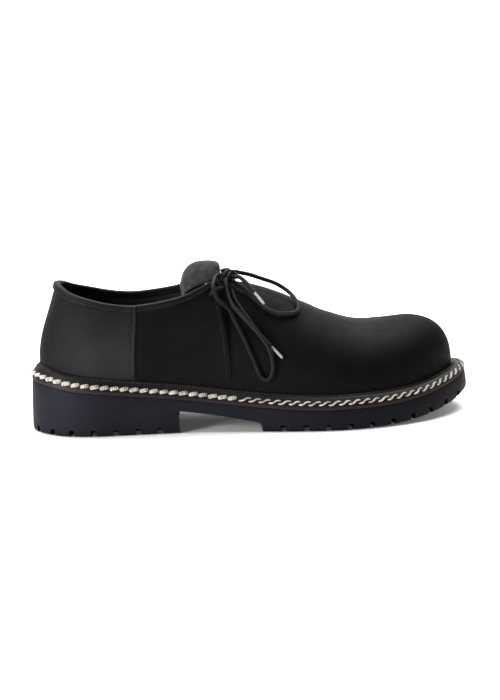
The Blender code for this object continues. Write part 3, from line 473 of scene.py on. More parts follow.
def makeRubber():
    net = Net("soleRubber", Specular_IOR_Level=0.24)
    fine = net.noise(1900.0, 2.0)
    broad = net.noise(28.0, 4.0, 0.6)
    dust = net.noise(120.0, 5.0, 0.7)
    along = net.part(net.place(), 0)
    warm, fore = along.within(0.095, 0.150), along.within(-0.05, 0.05)
    colour = net.mix(broad.within(0.32, 0.70), (0.0100, 0.0102, 0.0170), (0.0160, 0.0160, 0.0265))
    # painted shade: the sole is darkened from a little behind its middle to the toe
    colour = net.mix(fore * 0.75, colour, (0.0052, 0.0052, 0.0100))
    colour = net.mix((warm * 0.8).clamp(), colour, (0.014, 0.0095, 0.0095))
    colour = net.mix((dust.within(0.55, 0.85) * 0.2).clamp(), colour, (0.030, 0.029, 0.032))
    return net.finish(colour, 0.62 + (dust - 0.5) * 0.18, fine + dust * 0.8, 0.00012, 0.6)


def makeThread(name, light, dark):
    net = Net(name, Specular_IOR_Level=0.3, Sheen_Weight=0.2)
    along, around = net.alongAndAcross()
    ply = (along * (2 * math.pi / threadwork["ply"]) + around * (2 * math.pi * 2)).sine() * 0.5 + 0.5
    soil = net.noise(420.0, 3.0, 0.6)
    # painted shade: the grooves of the twist are darkened; the soil noise adds real dirt
    colour = net.mix(((1 - ply) * 0.5 + soil.within(0.42, 0.72) * 0.6).clamp(), light, dark)
    return net.finish(colour, 0.75, ply, 0.00012, 0.8)


def makeLaceCord():
    net = Net("laceCord", Specular_IOR_Level=0.3)
    along, around = net.alongAndAcross()
    run, turn = along * (2 * math.pi / threadwork["braid"]), around * (2 * math.pi * 3)
    braid = (run + turn).sine() * (run - turn).sine() * 0.5 + 0.5
    fuzz = net.noise(2400.0, 2.0)
    # painted highlight and shade: the braid's raised strands are lightened and its grooves darkened
    colour = net.mix(braid, 0.003, 0.026)
    return net.finish(colour, 0.52 + (fuzz - 0.5) * 0.2, braid + fuzz * 0.3, 0.0003, 0.9)


def makeAglet():
    net = Net("agletSleeve", Specular_IOR_Level=0.6)
    scuff = net.noise(900.0, 4.0, 0.6)
    colour = net.mix(scuff.within(0.4, 0.75), 0.40, 0.16)
    return net.finish(colour, 0.26 + scuff * 0.2, scuff, 0.00005, 0.5)


def makeInsoleFinish():
    net = Net("insoleLeather", Specular_IOR_Level=0.35)
    grain = net.noise(1400.0, 3.0)
    broad = net.noise(45.0, 4.0, 0.6)
    colour = net.mix(broad.within(0.3, 0.7), (0.030, 0.027, 0.025), (0.052, 0.047, 0.043))
    return net.finish(colour, 0.66 + (broad - 0.5) * 0.2, grain, 0.00012, 0.5)


def makeFloor():
    net = Net("paleFloor", Specular_IOR_Level=0.2)
    tone = net.noise(2.0, 2.0)
    colour = net.mix(tone, 0.90, 0.93)
    # the floor glows though it is no lamp: a weak glow all over and a stronger one round the toe, painting
    # light into the shadows there
    paintedFillGlow = net.mix(net.part(net.place(), 0).within(0.07, 0.15), 0.06, (0.26, 0.255, 0.245))
    return net.wear(Base_Color=colour, Roughness=0.8, Emission_Color=paintedFillGlow, Emission_Strength=1.0)


finish = {
    "leather": makeUpperLeather(),
    "lining": makeLining(),
    "tape": makeBindingTape(),
    "suede": makeSuede(),
    "welt": makeWeltLeather(),
    "rubber": makeRubber(),
    "weltThread": makeThread("weltThread", (0.66, 0.63, 0.57), (0.13, 0.11, 0.085)),
    "seamThread": makeThread("seamThread", 0.016, 0.005),
    "lace": makeLaceCord(),
    "aglet": makeAglet(),
    "insole": makeInsoleFinish(),
    "floor": makeFloor(),
}
print("finishes made")


# ---- making and dressing a piece ----
def addPiece(name, bm, materials, sharpAngle=None):
    mesh = bpy.data.meshes.new(name)
    bm.to_mesh(mesh)
    bm.free()
    mesh.shade_smooth()
    if sharpAngle:
        mesh.set_sharp_from_angle(angle=math.radians(sharpAngle))
    for material in materials:
        mesh.materials.append(material)
    obj = bpy.data.objects.new(name, mesh)
    scene.collection.objects.link(obj)
    return obj


def wearPiece(obj, slot, *nodes):
    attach(obj, "root")
    if nodes:
        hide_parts(*nodes)
    return obj


def bakeModifiers(obj):
    # the evaluated shape becomes the piece's plain mesh
    made = bpy.data.meshes.new_from_object(obj.evaluated_get(bpy.context.evaluated_depsgraph_get()))
    old = obj.data
    obj.modifiers.clear()
    obj.data = made
    made.name = obj.name
    bpy.data.meshes.remove(old)
    return obj


def distinct(corners):
    return [v for i, v in enumerate(corners) if v not in corners[:i]]


def skinFaces(bm, grid, material=0, closed=False):
    # quads between neighbouring columns of points; points that two columns share make triangles
    columns = list(zip(grid, grid[1:])) + ([(grid[-1], grid[0])] if closed else [])
    for left, right in columns:
        for row in range(len(left) - 1):
            corners = distinct([left[row], right[row], right[row + 1], left[row + 1]])
            if len(corners) > 2 and not bm.faces.get(corners):
                bm.faces.new(corners).material_index = material


def addRings(bm, rings):
    # one vertex for each point, and quads between each two closed rings that follow one another
    made = [[bm.verts.new(point) for point in ring] for ring in rings]
    for low, high in zip(made, made[1:]):
        for k in range(len(low)):
            n = (k + 1) % len(low)
            bm.faces.new((low[k], low[n], high[n], high[k]))
    return made


def capAcross(bm, ring):
    # closes a ring round the sole with strips from the outer side to the inner side
    for k in range(len(ring) // 2):
        corners = distinct([ring[k], ring[k + 1], ring[-(k + 1) % len(ring)], ring[-k % len(ring)]])
        if len(corners) > 2:
            bm.faces.new(corners)


def outwards(bm):
    bmesh.ops.recalc_face_normals(bm, faces=bm.faces)
    if bm.calc_volume(signed=True) < 0:
        bmesh.ops.reverse_faces(bm, faces=bm.faces)


def cutWith(obj, bm, solver="EXACT"):
    # takes a solid out of a piece for good
    outwards(bm)
    mesh = bpy.data.meshes.new("cutter")
    bm.to_mesh(mesh)
    bm.free()
    cutter = bpy.data.objects.new("cutter", mesh)
    scene.collection.objects.link(cutter)
    cut = obj.modifiers.new("cut", "BOOLEAN")
    cut.operation, cut.solver, cut.object = "DIFFERENCE", solver, cutter
    bakeModifiers(obj)
    bpy.data.objects.remove(cutter)
    return obj


def smoothRoute(points, spacing):
    # evenly spaced points on a smooth curve through the given ones
    dense = []
    end = len(points) - 1
    for k in range(end):
        before, first, second, after = (points[min(max(k + j, 0), end)] for j in (-1, 0, 1, 2))
        for n in range(24):
            t = n / 24
            dense.append(
                first * (2 * t**3 - 3 * t**2 + 1) + (second - before) * 0.5 * (t**3 - 2 * t**2 + t)
                + second * (3 * t**2 - 2 * t**3) + (after - first) * 0.5 * (t**3 - t**2)
            )
    dense.append(points[-1])
    travelled = np.concatenate([[0.0], np.cumsum([(b - a).length for a, b in zip(dense, dense[1:])])])
    count = max(3, int(travelled[-1] / spacing) + 1)
    wanted = np.linspace(0.0, travelled[-1], count)
    coords = np.array([tuple(p) for p in dense])
    return [Vector([float(np.interp(w, travelled, coords[:, axis])) for axis in range(3)]) for w in wanted]


def tube(bm, path, radius, sides=12, radii=None):
    # a round cord along the path, with rounded ends and a UV map: length along, share around
    uvLayer = bm.loops.layers.uv.verify()
    ahead, behind = [*path[1:], path[-1]], [path[0], *path[:-1]]
    tangents = [(a - b).normalized() for a, b in zip(ahead, behind)]
    normal = tangents[0].orthogonal().normalized()
    rings, lengths = [], []
    radii = radii or [1.0] * len(path)
    run = 0.0
    for k, (point, tangent) in enumerate(zip(path, tangents)):
        if k:
            run += (point - path[k - 1]).length
            normal = tangents[k - 1].rotation_difference(tangent) @ normal
        normal = (normal - tangent * normal.dot(tangent)).normalized()
        side = tangent.cross(normal)
        rings.append([
            bm.verts.new(point + (normal * math.cos(a) + side * math.sin(a)) * (radius * radii[k]))
            for a in (2 * math.pi * j / sides for j in range(sides))
        ])
        lengths.append(run)
    for k in range(len(rings) - 1):
        for j in range(sides):
            n = (j + 1) % sides
            face = bm.faces.new((rings[k][j], rings[k][n], rings[k + 1][n], rings[k + 1][j]))
            uvs = ((lengths[k], j), (lengths[k], j + 1), (lengths[k + 1], j + 1), (lengths[k + 1], j))
            for loop, (u, v) in zip(face.loops, uvs):
                loop[uvLayer].uv = (u, v / sides)
    for end, onward in ((0, -tangents[0]), (-1, tangents[-1])):
        tip = bm.verts.new(path[end] + onward * (radius * radii[end]) * 0.35)
        for j in range(sides):
            bm.faces.new((rings[end][j], rings[end][(j + 1) % sides], tip))


# ---- camera: the photograph's viewpoint, turned to the one shoe ----
view = {
    "place": Vector((-0.0697, -1.1000, 0.2702)),
    "roll": -0.036,
    "aim": Vector((0.0, 0.0, 0.0475)),
    "lens": 82.9,
}


def makeCamera():
    data = bpy.data.cameras.new("shoeCamera")
    data.sensor_width = 36.0  # of the photograph's long side
    data.lens = view["lens"]
    data.clip_start, data.clip_end = 0.05, 20.0
    camera = bpy.data.objects.new("shoeCamera", data)
    scene.collection.objects.link(camera)
    toward = view["aim"] - view["place"]
    turn = toward.to_track_quat("-Z", "Y").to_matrix() @ Matrix.Rotation(view["roll"], 3, "Z")
    camera.matrix_world = Matrix.Translation(view["place"]) @ turn.to_4x4()
    scene.camera = camera


makeCamera()
print("camera made")


# ---- laces: the routes of the part's own cords ----
lace = {
    "diameter": 2.9 * mm,
    "agletDiameter": 2.0 * mm,
    "agletLength": 12 * mm,
    "knot": (14 * mm, 12 * mm, 9.8 * mm),
    "knotScale": 1.42,
    "spacing": 0.9 * mm,
    "easing": 14,
    "rootShare": 0.15,  # a free end starts this far from the knot's middle to its surface
    "sleeved": 0.58,  # the cord's radius where a sleeve presses it, as a share
    "sleeveLap": 0.4 * mm,
    "holeRadius": 2.2 * mm,
}
# each row is a place on the wall, as shares of the sole's length and the wall's height, and mm out of it
outerLoop = [
    (0.4351, 0.891, 7.6), (0.4374, 0.797, 7.0), (0.4457, 0.693, 5.2), (0.4472, 0.559, 3.4),
    (0.4569, 0.479, 2.2), (0.4734, 0.363, 2.0), (0.4832, 0.290, 2.0), (0.4925, 0.222, 2.0),
    (0.5000, 0.165, 2.1), (0.5050, 0.122, 2.2), (0.5130, 0.084, 2.4), (0.5255, 0.078, 2.4),
    (0.5350, 0.118, 2.4), (0.5385, 0.168, 2.4), (0.5373, 0.221, 2.6), (0.5317, 0.283, 4.2),
    (0.5167, 0.345, 5.6), (0.5032, 0.390, 6.0), (0.4867, 0.440, 6.0), (0.4710, 0.500, 6.0),
    (0.4575, 0.562, 6.2), (0.4500, 0.660, 6.8),
]
innerLoop = [
    (0.487, 1.000, 6.2), (0.504, 1.000, 6.2), (0.534, 1.000, 5.4), (0.568, 1.000, 5.2), (0.595, 0.940, 3.6),
    (0.607, 0.802, 2.6), (0.611, 0.698, 2.2), (0.603, 0.623, 2.0), (0.583, 0.581, 2.0), (0.556, 0.556, 2.0),
    (0.532, 0.585, 2.0), (0.508, 0.650, 2.2), (0.490, 0.735, 2.8),
]
outerEnd = [(0.470, 0.600, 2.4), (0.492, 0.464, 2.0), (0.515, 0.362, 2.0), (0.536, 0.301, 2.0)]
innerEnd = [(0.4960, 0.735, 7.0), (0.5080, 0.678, 6.2)]
outerTip, innerTip = (0.564, 0.215, 2.0), (0.5364, 0.580, 5.0)
outerBar = [(0.4470, 0.790, 3.4), (0.4445, 0.840, 3.2)]
innerBar = [(0.4580, 0.970, 2.8), (0.4530, 0.920, 2.8), (0.4445, 0.840, 3.0)]
knotPlace, holePlace = (0.452, 0.835, 6.2), (0.432, 0.830)


def laid(rows, side=outerSide):
    return [onWall(side, along, up, off * mm) for along, up, off in rows]


knotCentre = laid([knotPlace])[0]


def knotLead(fore, aside, rise):
    # the first two points of a lace that leaves the knot squarely
    direction = Vector((fore, aside, rise)).normalized()
    halves = [size / 2 for size in lace["knot"]]
    reach = 1 / math.sqrt(sum((part / half) ** 2 for part, half in zip(direction, halves)))
    normal = Vector([part / half**2 for part, half in zip(direction, halves)]).normalized()
    start = knotCentre + direction * reach + normal * last["gap"]
    return [start, start + normal * lace["diameter"]]


def holeSpot(side):
    along, up = holePlace
    centre = onWall(side, along, up, 0.0)
    return centre, (onWall(side, along, up, last["wall"]) - centre).normalized()


def makeLaceTube(name, path, radii=None):
    bm = bmesh.new()
    tube(bm, path, lace["diameter"] / 2, radii=radii)
    outwards(bm)
    return addPiece(name, bm, [finish["lace"]])


def easedRoute(path, rounds):
    # the same route with its tightest bends eased and its two ends kept
    coords = np.array([tuple(p) for p in path])
    for _ in range(rounds):
        coords[1:-1] = (coords[:-2] + 2 * coords[1:-1] + coords[2:]) / 4
    return [Vector(row) for row in coords.tolist()]


def wearCord(obj, name, path, farEnd, **fittings):
    wearPiece(obj, "lace_cord", name)
    length = sum((b - a).length for a, b in zip(path, path[1:]))


def makeLoop(name, leave, rows, back):
    lead, tail = knotLead(*leave), knotLead(*back)
    path = smoothRoute([*lead, *laid(rows), tail[1], tail[0]], lace["spacing"])
    path = easedRoute(path, lace["easing"])
    wearCord(makeLaceTube("bow_" + name, path), name, path, "object")


def makeAgletSleeve(name, start, direction):
    # a sleeve with a crimped waist, a rolled rim and a rounded tip
    length, radius = lace["agletLength"], lace["agletDiameter"] / 2
    profile = [
        (0.00, 0.80), (0.01, 0.98), (0.04, 1.04), (0.07, 1.00), (0.20, 0.97), (0.30, 0.93), (0.36, 0.93),
        (0.46, 0.97), (0.80, 0.95), (0.93, 0.88), (0.98, 0.72), (1.00, 0.42),
    ]
    path = [start + direction * length * share for share, _ in profile]
    bm = bmesh.new()
    tube(bm, path, radius, 16, [size for _, size in profile])
    outwards(bm)
    return wearPiece(addPiece("sleeve_" + name, bm, [finish["aglet"]]), "aglet_plastic", name)


def makeEnd(name, aglet, leave, rows, tip):
    lead = knotLead(*leave)
    inKnot = knotCentre.lerp(lead[0], lace["rootShare"])
    path = [inKnot] + smoothRoute([*lead, *laid(rows)], lace["spacing"])
    toward = (path[-1] - path[-2]).normalized()
    aim = (laid([tip])[0] - path[-1]).normalized()
    direction = (toward * 2 + aim).normalized()
    sleeve = makeAgletSleeve(aglet, path[-1] - direction * lace["sleeveLap"], direction)
    inside = [path[-1] + direction * lace["agletLength"] * share for share in (0.10, 0.3, 0.6, 0.85)]
    radii = [1.0] * len(path) + [lace["sleeved"]] * len(inside)
    path += inside
    wearCord(makeLaceTube("free_" + name, path, radii), name, path, "fitting", with_pieces=[sleeve])


def makeBar(name, side, leave, rows):
    lead = knotLead(*leave)
    centre, normal = holeSpot(side)
    route = [*lead, *laid(rows, side), centre + normal * lace["diameter"]]
    route.append(centre - normal * (last["wall"] + lace["diameter"]))
    wearPiece(makeLaceTube("tied_" + name, smoothRoute(route, lace["spacing"])), "lace_cord", name)


def makeKnot():
    # the bow's knot: a wrap round the middle, the half knot under it and the roots of the loops
    fore, aside = Vector((0.93, -0.32, -0.14)).normalized(), Vector((0.30, 0.93, 0.12)).normalized()
    rise = fore.cross(aside).normalized()
    radius = lace["diameter"] / 2 * 0.98  # drawn tight

    def local(a, b, c):
        return knotCentre + (fore * a + aside * b + rise * c) * lace["knotScale"] * mm

    strands = {
        "wrap": [(math.cos(a) * 1.0 - 0.6, math.sin(a) * 3.3, math.cos(a) * 2.9 + 0.4)
                 for a in (2 * math.pi * k / 14 for k in range(15))],
        "wrapBeside": [(math.cos(a) * 0.9 + 1.9, math.sin(a + 0.5) * 3.0, math.cos(a + 0.5) * 2.6 + 0.2)
                       for a in (2 * math.pi * k / 14 for k in range(13))],
        "halfOver": [(-5.4, -2.6, -0.6), (-3.4, -2.6, 1.0), (-0.6, -1.2, 1.2), (2.4, 1.4, 0.6),
                     (4.6, 2.6, -0.4)],
        "halfUnder": [(-4.6, 2.8, -1.0), (-2.0, 2.4, -1.6), (1.0, 0.2, -1.8), (3.4, -2.4, -1.0),
                      (5.0, -2.8, -0.2)],
        "rootOuter": [(-4.6, -1.6, 1.8), (-2.8, -2.8, 0.4), (-0.6, -4.2, -0.6), (0.4, -4.8, -1.4)],
        "rootInner": [(5.0, 1.2, 0.8), (2.4, 2.8, 1.6), (-0.6, 2.2, 2.6), (-2.6, 0.4, 2.2)],
    }
    bm = bmesh.new()
    for points in strands.values():
        tube(bm, smoothRoute([local(*point) for point in points], 0.6 * mm), radius)
    bmesh.ops.recalc_face_normals(bm, faces=bm.faces)
    wearPiece(addPiece("bow_knot", bm, [finish["lace"]]), "lace_cord", "lace_knot")


outerLeave, outerReturn = (-0.74, -0.62, 0.18), (-0.10, -0.98, -0.16)
innerLeave, innerReturn = (0.70, 0.68, 0.22), (0.78, -0.40, -0.48)
makeLoop("lace_loop_outer", outerLeave, outerLoop, outerReturn)
makeLoop("lace_loop_inner", innerLeave, innerLoop, innerReturn)
makeEnd("lace_end_outer", "aglet_outer", (0.32, -0.68, -0.66), outerEnd, outerTip)
makeEnd("lace_end_inner", "aglet_inner", (0.93, -0.32, -0.04), innerEnd, innerTip)
makeBar("lace_bar_outer", outerSide, (-0.66, -0.66, -0.36), outerBar)
makeBar("lace_bar_inner", innerSide, (0.25, 0.95, -0.10), innerBar)
makeKnot()
print("laces and bow made")

# ---- upper: vamp, quarters and counter as one wall, with lapped edges ----
upper = {
    "heelColumns": 56,
    "quarterColumns": 24,
    "vampColumns": 104,
    "rows": 60,
    "edgeRound": 0.7 * mm,  # a lapped edge rolls over within this
    "seamBack": 3.0 * mm,  # from a lapped edge to its stitching
    "seamDip": 0.28 * mm,
    "dipWidth": 0.62 * mm,
    "lipBack": 1.4 * mm,
    "lipRise": 0.42 * mm,
    "lipWidth": 0.8 * mm,
    # width of the painted highlight behind the counter's front edge
    "edgeLightWidth": 1.7 * mm,
    "quarterShows": 0.45,  # share of the quarter's step: the photograph hardly shows this edge
}
# soft creases: side, start and end as shares of the sole's length and the wall's height, width and depth
creases = [
    (outerSide, 0.615, 0.97, 0.555, 0.48, 5.0, 0.34),
    (outerSide, 0.665, 0.93, 0.600, 0.42, 5.5, 0.28),
    (outerSide, 0.545, 0.80, 0.520, 0.30, 6.0, 0.26),
    (innerSide, 0.625, 0.97, 0.575, 0.46, 5.0, 0.36),
    (innerSide, 0.675, 0.92, 0.620, 0.40, 5.5, 0.30),
    (outerSide, 0.300, 0.86, 0.345, 0.40, 7.0, 0.30),
    (innerSide, 0.290, 0.86, 0.340, 0.42, 7.0, 0.34),
    (outerSide, 0.120, 0.80, 0.150, 0.30, 8.0, 0.22),
]
creaseSpan = last["length"] / mm, 80.0  # mm along the sole and up a wall


def creaseDepth(side, along, up):
    total = 0.0
    for creaseSide, a0, u0, a1, u1, width, depth in creases:
        if creaseSide != side:
            continue
        places = (a0, u0), (a1, u1), (along, up)
        start, end, at = (Vector((a * creaseSpan[0], u * creaseSpan[1])) for a, u in places)
        run, at = end - start, at - start
        share = min(max(at.dot(run) / run.length_squared, 0.0), 1.0)
        away = (at - run * share).length
        if away < 3 * width:
            trough = math.exp(-((away / width) ** 2))
            ridge = 0.4 * math.exp(-(((away - 1.7 * width) / width) ** 2))
            total += depth * mm * math.sin(math.pi * (0.12 + 0.76 * share)) * (trough - ridge)
    return -total


Column = namedtuple("Column", "side angle mix edge behind")


def sideColumns():
    # from the heel's back to the toe's tip; columns crowd behind each lapped edge
    close = [0.0, 0.06, 0.14, 0.28, 0.48, 0.70, 1.0, 1.5, 2.0, 2.4, 2.7, 3.0, 3.3, 3.6, 4.1, 5.0, 6.4]
    columns = []

    def add(x, edge):
        columns.append((angleOf(x / last["length"]), None, edge, edge - x))

    counter, quarter = last["counterSeam"], last["quarterSeam"]
    heelEnd = angleOf((counter - 8 * mm) / last["length"])
    for k in range(upper["heelColumns"]):
        add(alongOf(heelEnd * k / (upper["heelColumns"] - 1)) * last["length"], counter)
    for back in reversed(close):
        add(counter - back * mm, counter)
    columns.append((angleOf((counter + 0.02 * mm) / last["length"]), None, None, None))
    first, final = counter + 0.6 * mm, quarter - 8 * mm
    for k in range(upper["quarterColumns"]):
        add(first + (final - first) * k / (upper["quarterColumns"] - 1), quarter)
    for back in reversed(close):
        add(quarter - back * mm, quarter)
    for mix in (0.004, 0.02, 0.045, 0.08, 0.13, 0.19, 0.26, 0.34, 0.43, 0.53, 0.64, 0.76, 0.88):
        columns.append((quarterAngle + (vampAngle - quarterAngle) * mix, mix, None, None))
    for k in range(upper["vampColumns"] + 1):
        columns.append((vampAngle + (math.pi - vampAngle) * k / upper["vampColumns"], None, None, None))
    return columns


oneSide = sideColumns()
columnsRound = [Column(outerSide, *column) for column in oneSide]
columnsRound += [Column(innerSide, *column) for column in reversed(oneSide[1:-1])]
columnCount = len(columnsRound)


def isOpen(column):
    return column.mix is not None or column.angle <= quarterAngle


def shareGrid(bm, points):
    # vertices of a grid of points; the two sides share the crest's
    grid = [[bm.verts.new(point) for point in line] for line in points]
    for k in range(columnCount // 2 + 1, columnCount):
        if not isOpen(columnsRound[k]):
            bm.verts.remove(grid[k][-1])
            grid[k][-1] = grid[-k % columnCount][-1]
    return grid


def wallGrids():
    base, shares = [], []
    for column in columnsRound:
        curve = blendedCurve(column.side, column.angle, column.mix)
        foot = Vector((curve[0].x, curve[0].y, seatHeight(curve[0].x) + last["gap"]))
        band = bandShare(curve)
        ts = [k / upper["rows"] for k in range(upper["rows"] + 1)]
        base.append([foot] + [curvePoint(curve, t) for t in ts])
        shares.append([0.0] + [upShare(t, band) for t in ts])
    probe = bmesh.new()
    grid = shareGrid(probe, base)
    skinFaces(probe, grid, closed=True)
    probe.normal_update()
    normals = [[vert.normal.copy() for vert in line] for line in grid]
    if normals[0][5].x > 0:
        normals = [[-normal for normal in line] for line in normals]
    probe.free()
    outer, inner, burnish = [], [], []
    for column, line, ups, lineNormals in zip(columnsRound, base, shares, normals):
        around = column.angle if column.side == outerSide else 2 * math.pi - column.angle
        flat = outwardAt(around).to_3d()
        step = edgeLight = 0.0
        if column.behind is not None:
            x = column.edge - column.behind
            rolled = min(column.behind / upper["edgeRound"], 1.0)
            step = lapHeight(x) * math.sqrt(max(0.0, 1 - (1 - rolled) ** 2))
            if column.edge == last["quarterSeam"]:
                step *= upper["quarterShows"]
            if column.edge == last["counterSeam"]:
                away = (column.behind - upper["seamBack"]) / upper["dipWidth"]
                step -= upper["seamDip"] * math.exp(-away * away)
                away = (column.behind - upper["lipBack"]) / upper["lipWidth"]
                step += upper["lipRise"] * math.exp(-away * away) * rolled
                # painted highlight: the counter's front edge is lightened, fading over a strip behind it
                edgeLight = math.exp(-((column.behind / upper["edgeLightWidth"]) ** 2))
        for table in (outer, inner, burnish):
            table.append([])
        along = alongOf(column.angle)
        for row, (point, up, normal) in enumerate(zip(line, ups, lineNormals)):
            if row < 2:
                lineNormals[row] = normal = flat  # the two lowest rows stand square to the sole's edge
            fade = smoothStep(up / 0.06)
            crest = 1.0 if isOpen(column) else 1 - smoothStep((up - 0.9) / 0.1)
            relief = creaseDepth(column.side, along, up) * fade * crest
            outer[-1].append(point + normal * (step * fade + relief))
            inner[-1].append(point - normal * last["wall"])
            burnish[-1].append(edgeLight * fade)
        inner[-1][0].z = seatHeight(inner[-1][0].x) + last["gap"]
    return outer, inner, normals, burnish


wallOuter, wallInner, wallNormals, wallPaintedEdgeLight = wallGrids()


def makeUpper():
    bm = bmesh.new()
    bm.verts.layers.float.new("burnish")
    bm.verts.layers.float.new("counterPanel")
    edgeLight, panel = (bm.verts.layers.float[name] for name in ("burnish", "counterPanel"))
    outerGrid, innerGrid = shareGrid(bm, wallOuter), shareGrid(bm, wallInner)
    for column, line, values in zip(columnsRound, outerGrid, wallPaintedEdgeLight):
        for vert, value in zip(line, values):
            vert[edgeLight] = value
            # the counter panel's mask, for its painted highlight
            vert[panel] = float(column.edge == last["counterSeam"])
    skinFaces(bm, outerGrid, 0, closed=True)
    skinFaces(bm, innerGrid, 1, closed=True)
    for k in range(columnCount):
        n = (k + 1) % columnCount
        bm.faces.new((outerGrid[k][0], outerGrid[n][0], innerGrid[n][0], innerGrid[k][0]))
        if isOpen(columnsRound[k]) or isOpen(columnsRound[n]):
            bm.faces.new((outerGrid[k][-1], outerGrid[n][-1], innerGrid[n][-1], innerGrid[k][-1]))
    outwards(bm)
    piece = addPiece("upper_leather", bm, [finish["leather"], finish["lining"]], 50)
    punch = bmesh.new()
    for side in (outerSide, innerSide):
        centre, normal = holeSpot(side)
        turn = normal.to_track_quat("Z", "Y").to_matrix().to_4x4()
        turn.translation = centre
        bmesh.ops.create_cone(punch, cap_ends=True, segments=28, radius1=lace["holeRadius"],
                              radius2=lace["holeRadius"], depth=5 * last["wall"], matrix=turn)
    cutWith(piece, punch, "MANIFOLD")
    wearPiece(piece, "black_leather", "upper")


makeUpper()
print("upper made")

# ---- binding round the collar ----
binding = {
    "near": 0.35 * mm,
    "thickness": 0.85 * mm,
    "roll": 0.25 * mm,
    "setback": 1.6 * mm,
    "stitchDown": 2.5 * mm,
    "dip": [(3.1, 0.0), (2.75, 0.12), (2.5, 0.2), (2.25, 0.12), (1.9, 0.0)],
}
openHalf = [k for k in range(columnCount // 2) if columnsRound[k].mix is None and isOpen(columnsRound[k])]
collarColumns = [-k % columnCount for k in reversed(openHalf[1:])] + openHalf


def downFrom(line, depth):
    # a point a given way down a column from its top
    travelled = 0.0
    for upperPoint, lowerPoint in zip(reversed(line), reversed(line[:-1])):
        step = (lowerPoint - upperPoint).length
        if travelled + step >= depth:
            return upperPoint.lerp(lowerPoint, (depth - travelled) / step)
        travelled += step
    return line[0]


def bindingRing(k):
    outer, inner, normal = wallOuter[k], wallInner[k], wallNormals[k][-1]
    below = (downFrom(outer, 2 * mm) - outer[-1]).normalized()
    near, far, roll = binding["near"], binding["near"] + binding["thickness"], binding["roll"]
    deep = last["bindingDepth"]
    outside = [(deep, near), (deep, far - roll), (deep - roll, far)]
    # the sunk line of its stitching: way down, and depth of the dip
    outside += [(down * mm, far - dip * mm) for down, dip in binding["dip"]] + [(0.6 * mm, far)]
    ring = [downFrom(outer, depth) + normal * off for depth, off in outside]
    middle = outer[-1].lerp(inner[-1], 0.5)
    half = (outer[-1] - inner[-1]).length / 2 + far
    for angle in (15, 40, 65, 90, 115, 140, 165):
        a = math.radians(angle)
        ring.append(middle + normal * half * math.cos(a) - below * (far * 0.9 * math.sin(a) - 0.1 * mm))
    ring += [downFrom(inner, depth) - normal * off for depth, off in reversed(outside)]
    ring += [inner[-1] - normal * near - below * near, outer[-1] + normal * near - below * near]
    return ring


def makeBinding():
    rings = [bindingRing(k) for k in collarColumns]
    for end, beside in ((0, 1), (-1, -2)):
        # the tape's ends stop a little before the quarters' corners
        target = rings[end]
        while (target[8] - rings[beside][8]).length < binding["setback"]:
            rings.pop(beside)
        share = binding["setback"] / (rings[end][8] - rings[beside][8]).length
        rings[end] = [a.lerp(b, share) for a, b in zip(rings[end], rings[beside])]
    bm = bmesh.new()
    made = addRings(bm, rings)
    bm.faces.new(made[0])
    bm.faces.new(reversed(made[-1]))
    bmesh.ops.triangulate(bm, faces=[face for face in bm.faces if len(face.verts) > 4])
    outwards(bm)
    wearPiece(addPiece("binding_tape", bm, [finish["tape"]], 45), "binding_tape", "collar_binding")


makeBinding()
print("binding made")

# ---- tongue: a suede tab with a pinked end ----
tongue = {
    "width": 32 * mm,
    "arch": 14 * mm,
    "thickness": 1.8 * mm,
    "tooth": 1.4 * mm,
    "teeth": 13,
    "pinked": 4 * mm,
    "wave": 0.35 * mm,
    "top": 91.5 * mm,
    "rowsPerStep": 7,
    "columnsPerTooth": 6,
}
Tongue = namedtuple("Tongue", "place height half fall")
tongueRows = [Tongue(*row) for row in (
    (0.526, 0.804, 0.74, 0.34), (0.480, 0.820, 0.72, 0.44), (0.446, 0.826, 0.62, 0.50),
    (0.436, 0.856, 0.48, 0.50), (0.429, 0.908, 0.42, 0.42), (0.430, 0.958, 0.42, 0.40),
    (0.438, 0.990, 0.50, 0.42), (0.430, 1.010, 0.68, 0.62), (0.411, 1.010, 0.88, 0.88),
    (0.388, 0.995, 0.96, 1.00), (0.370, 0.962, 1.00, 1.00), (0.356, 0.905, 0.98, 0.90),
    (0.348, 0.825, 0.94, 0.74),
)]


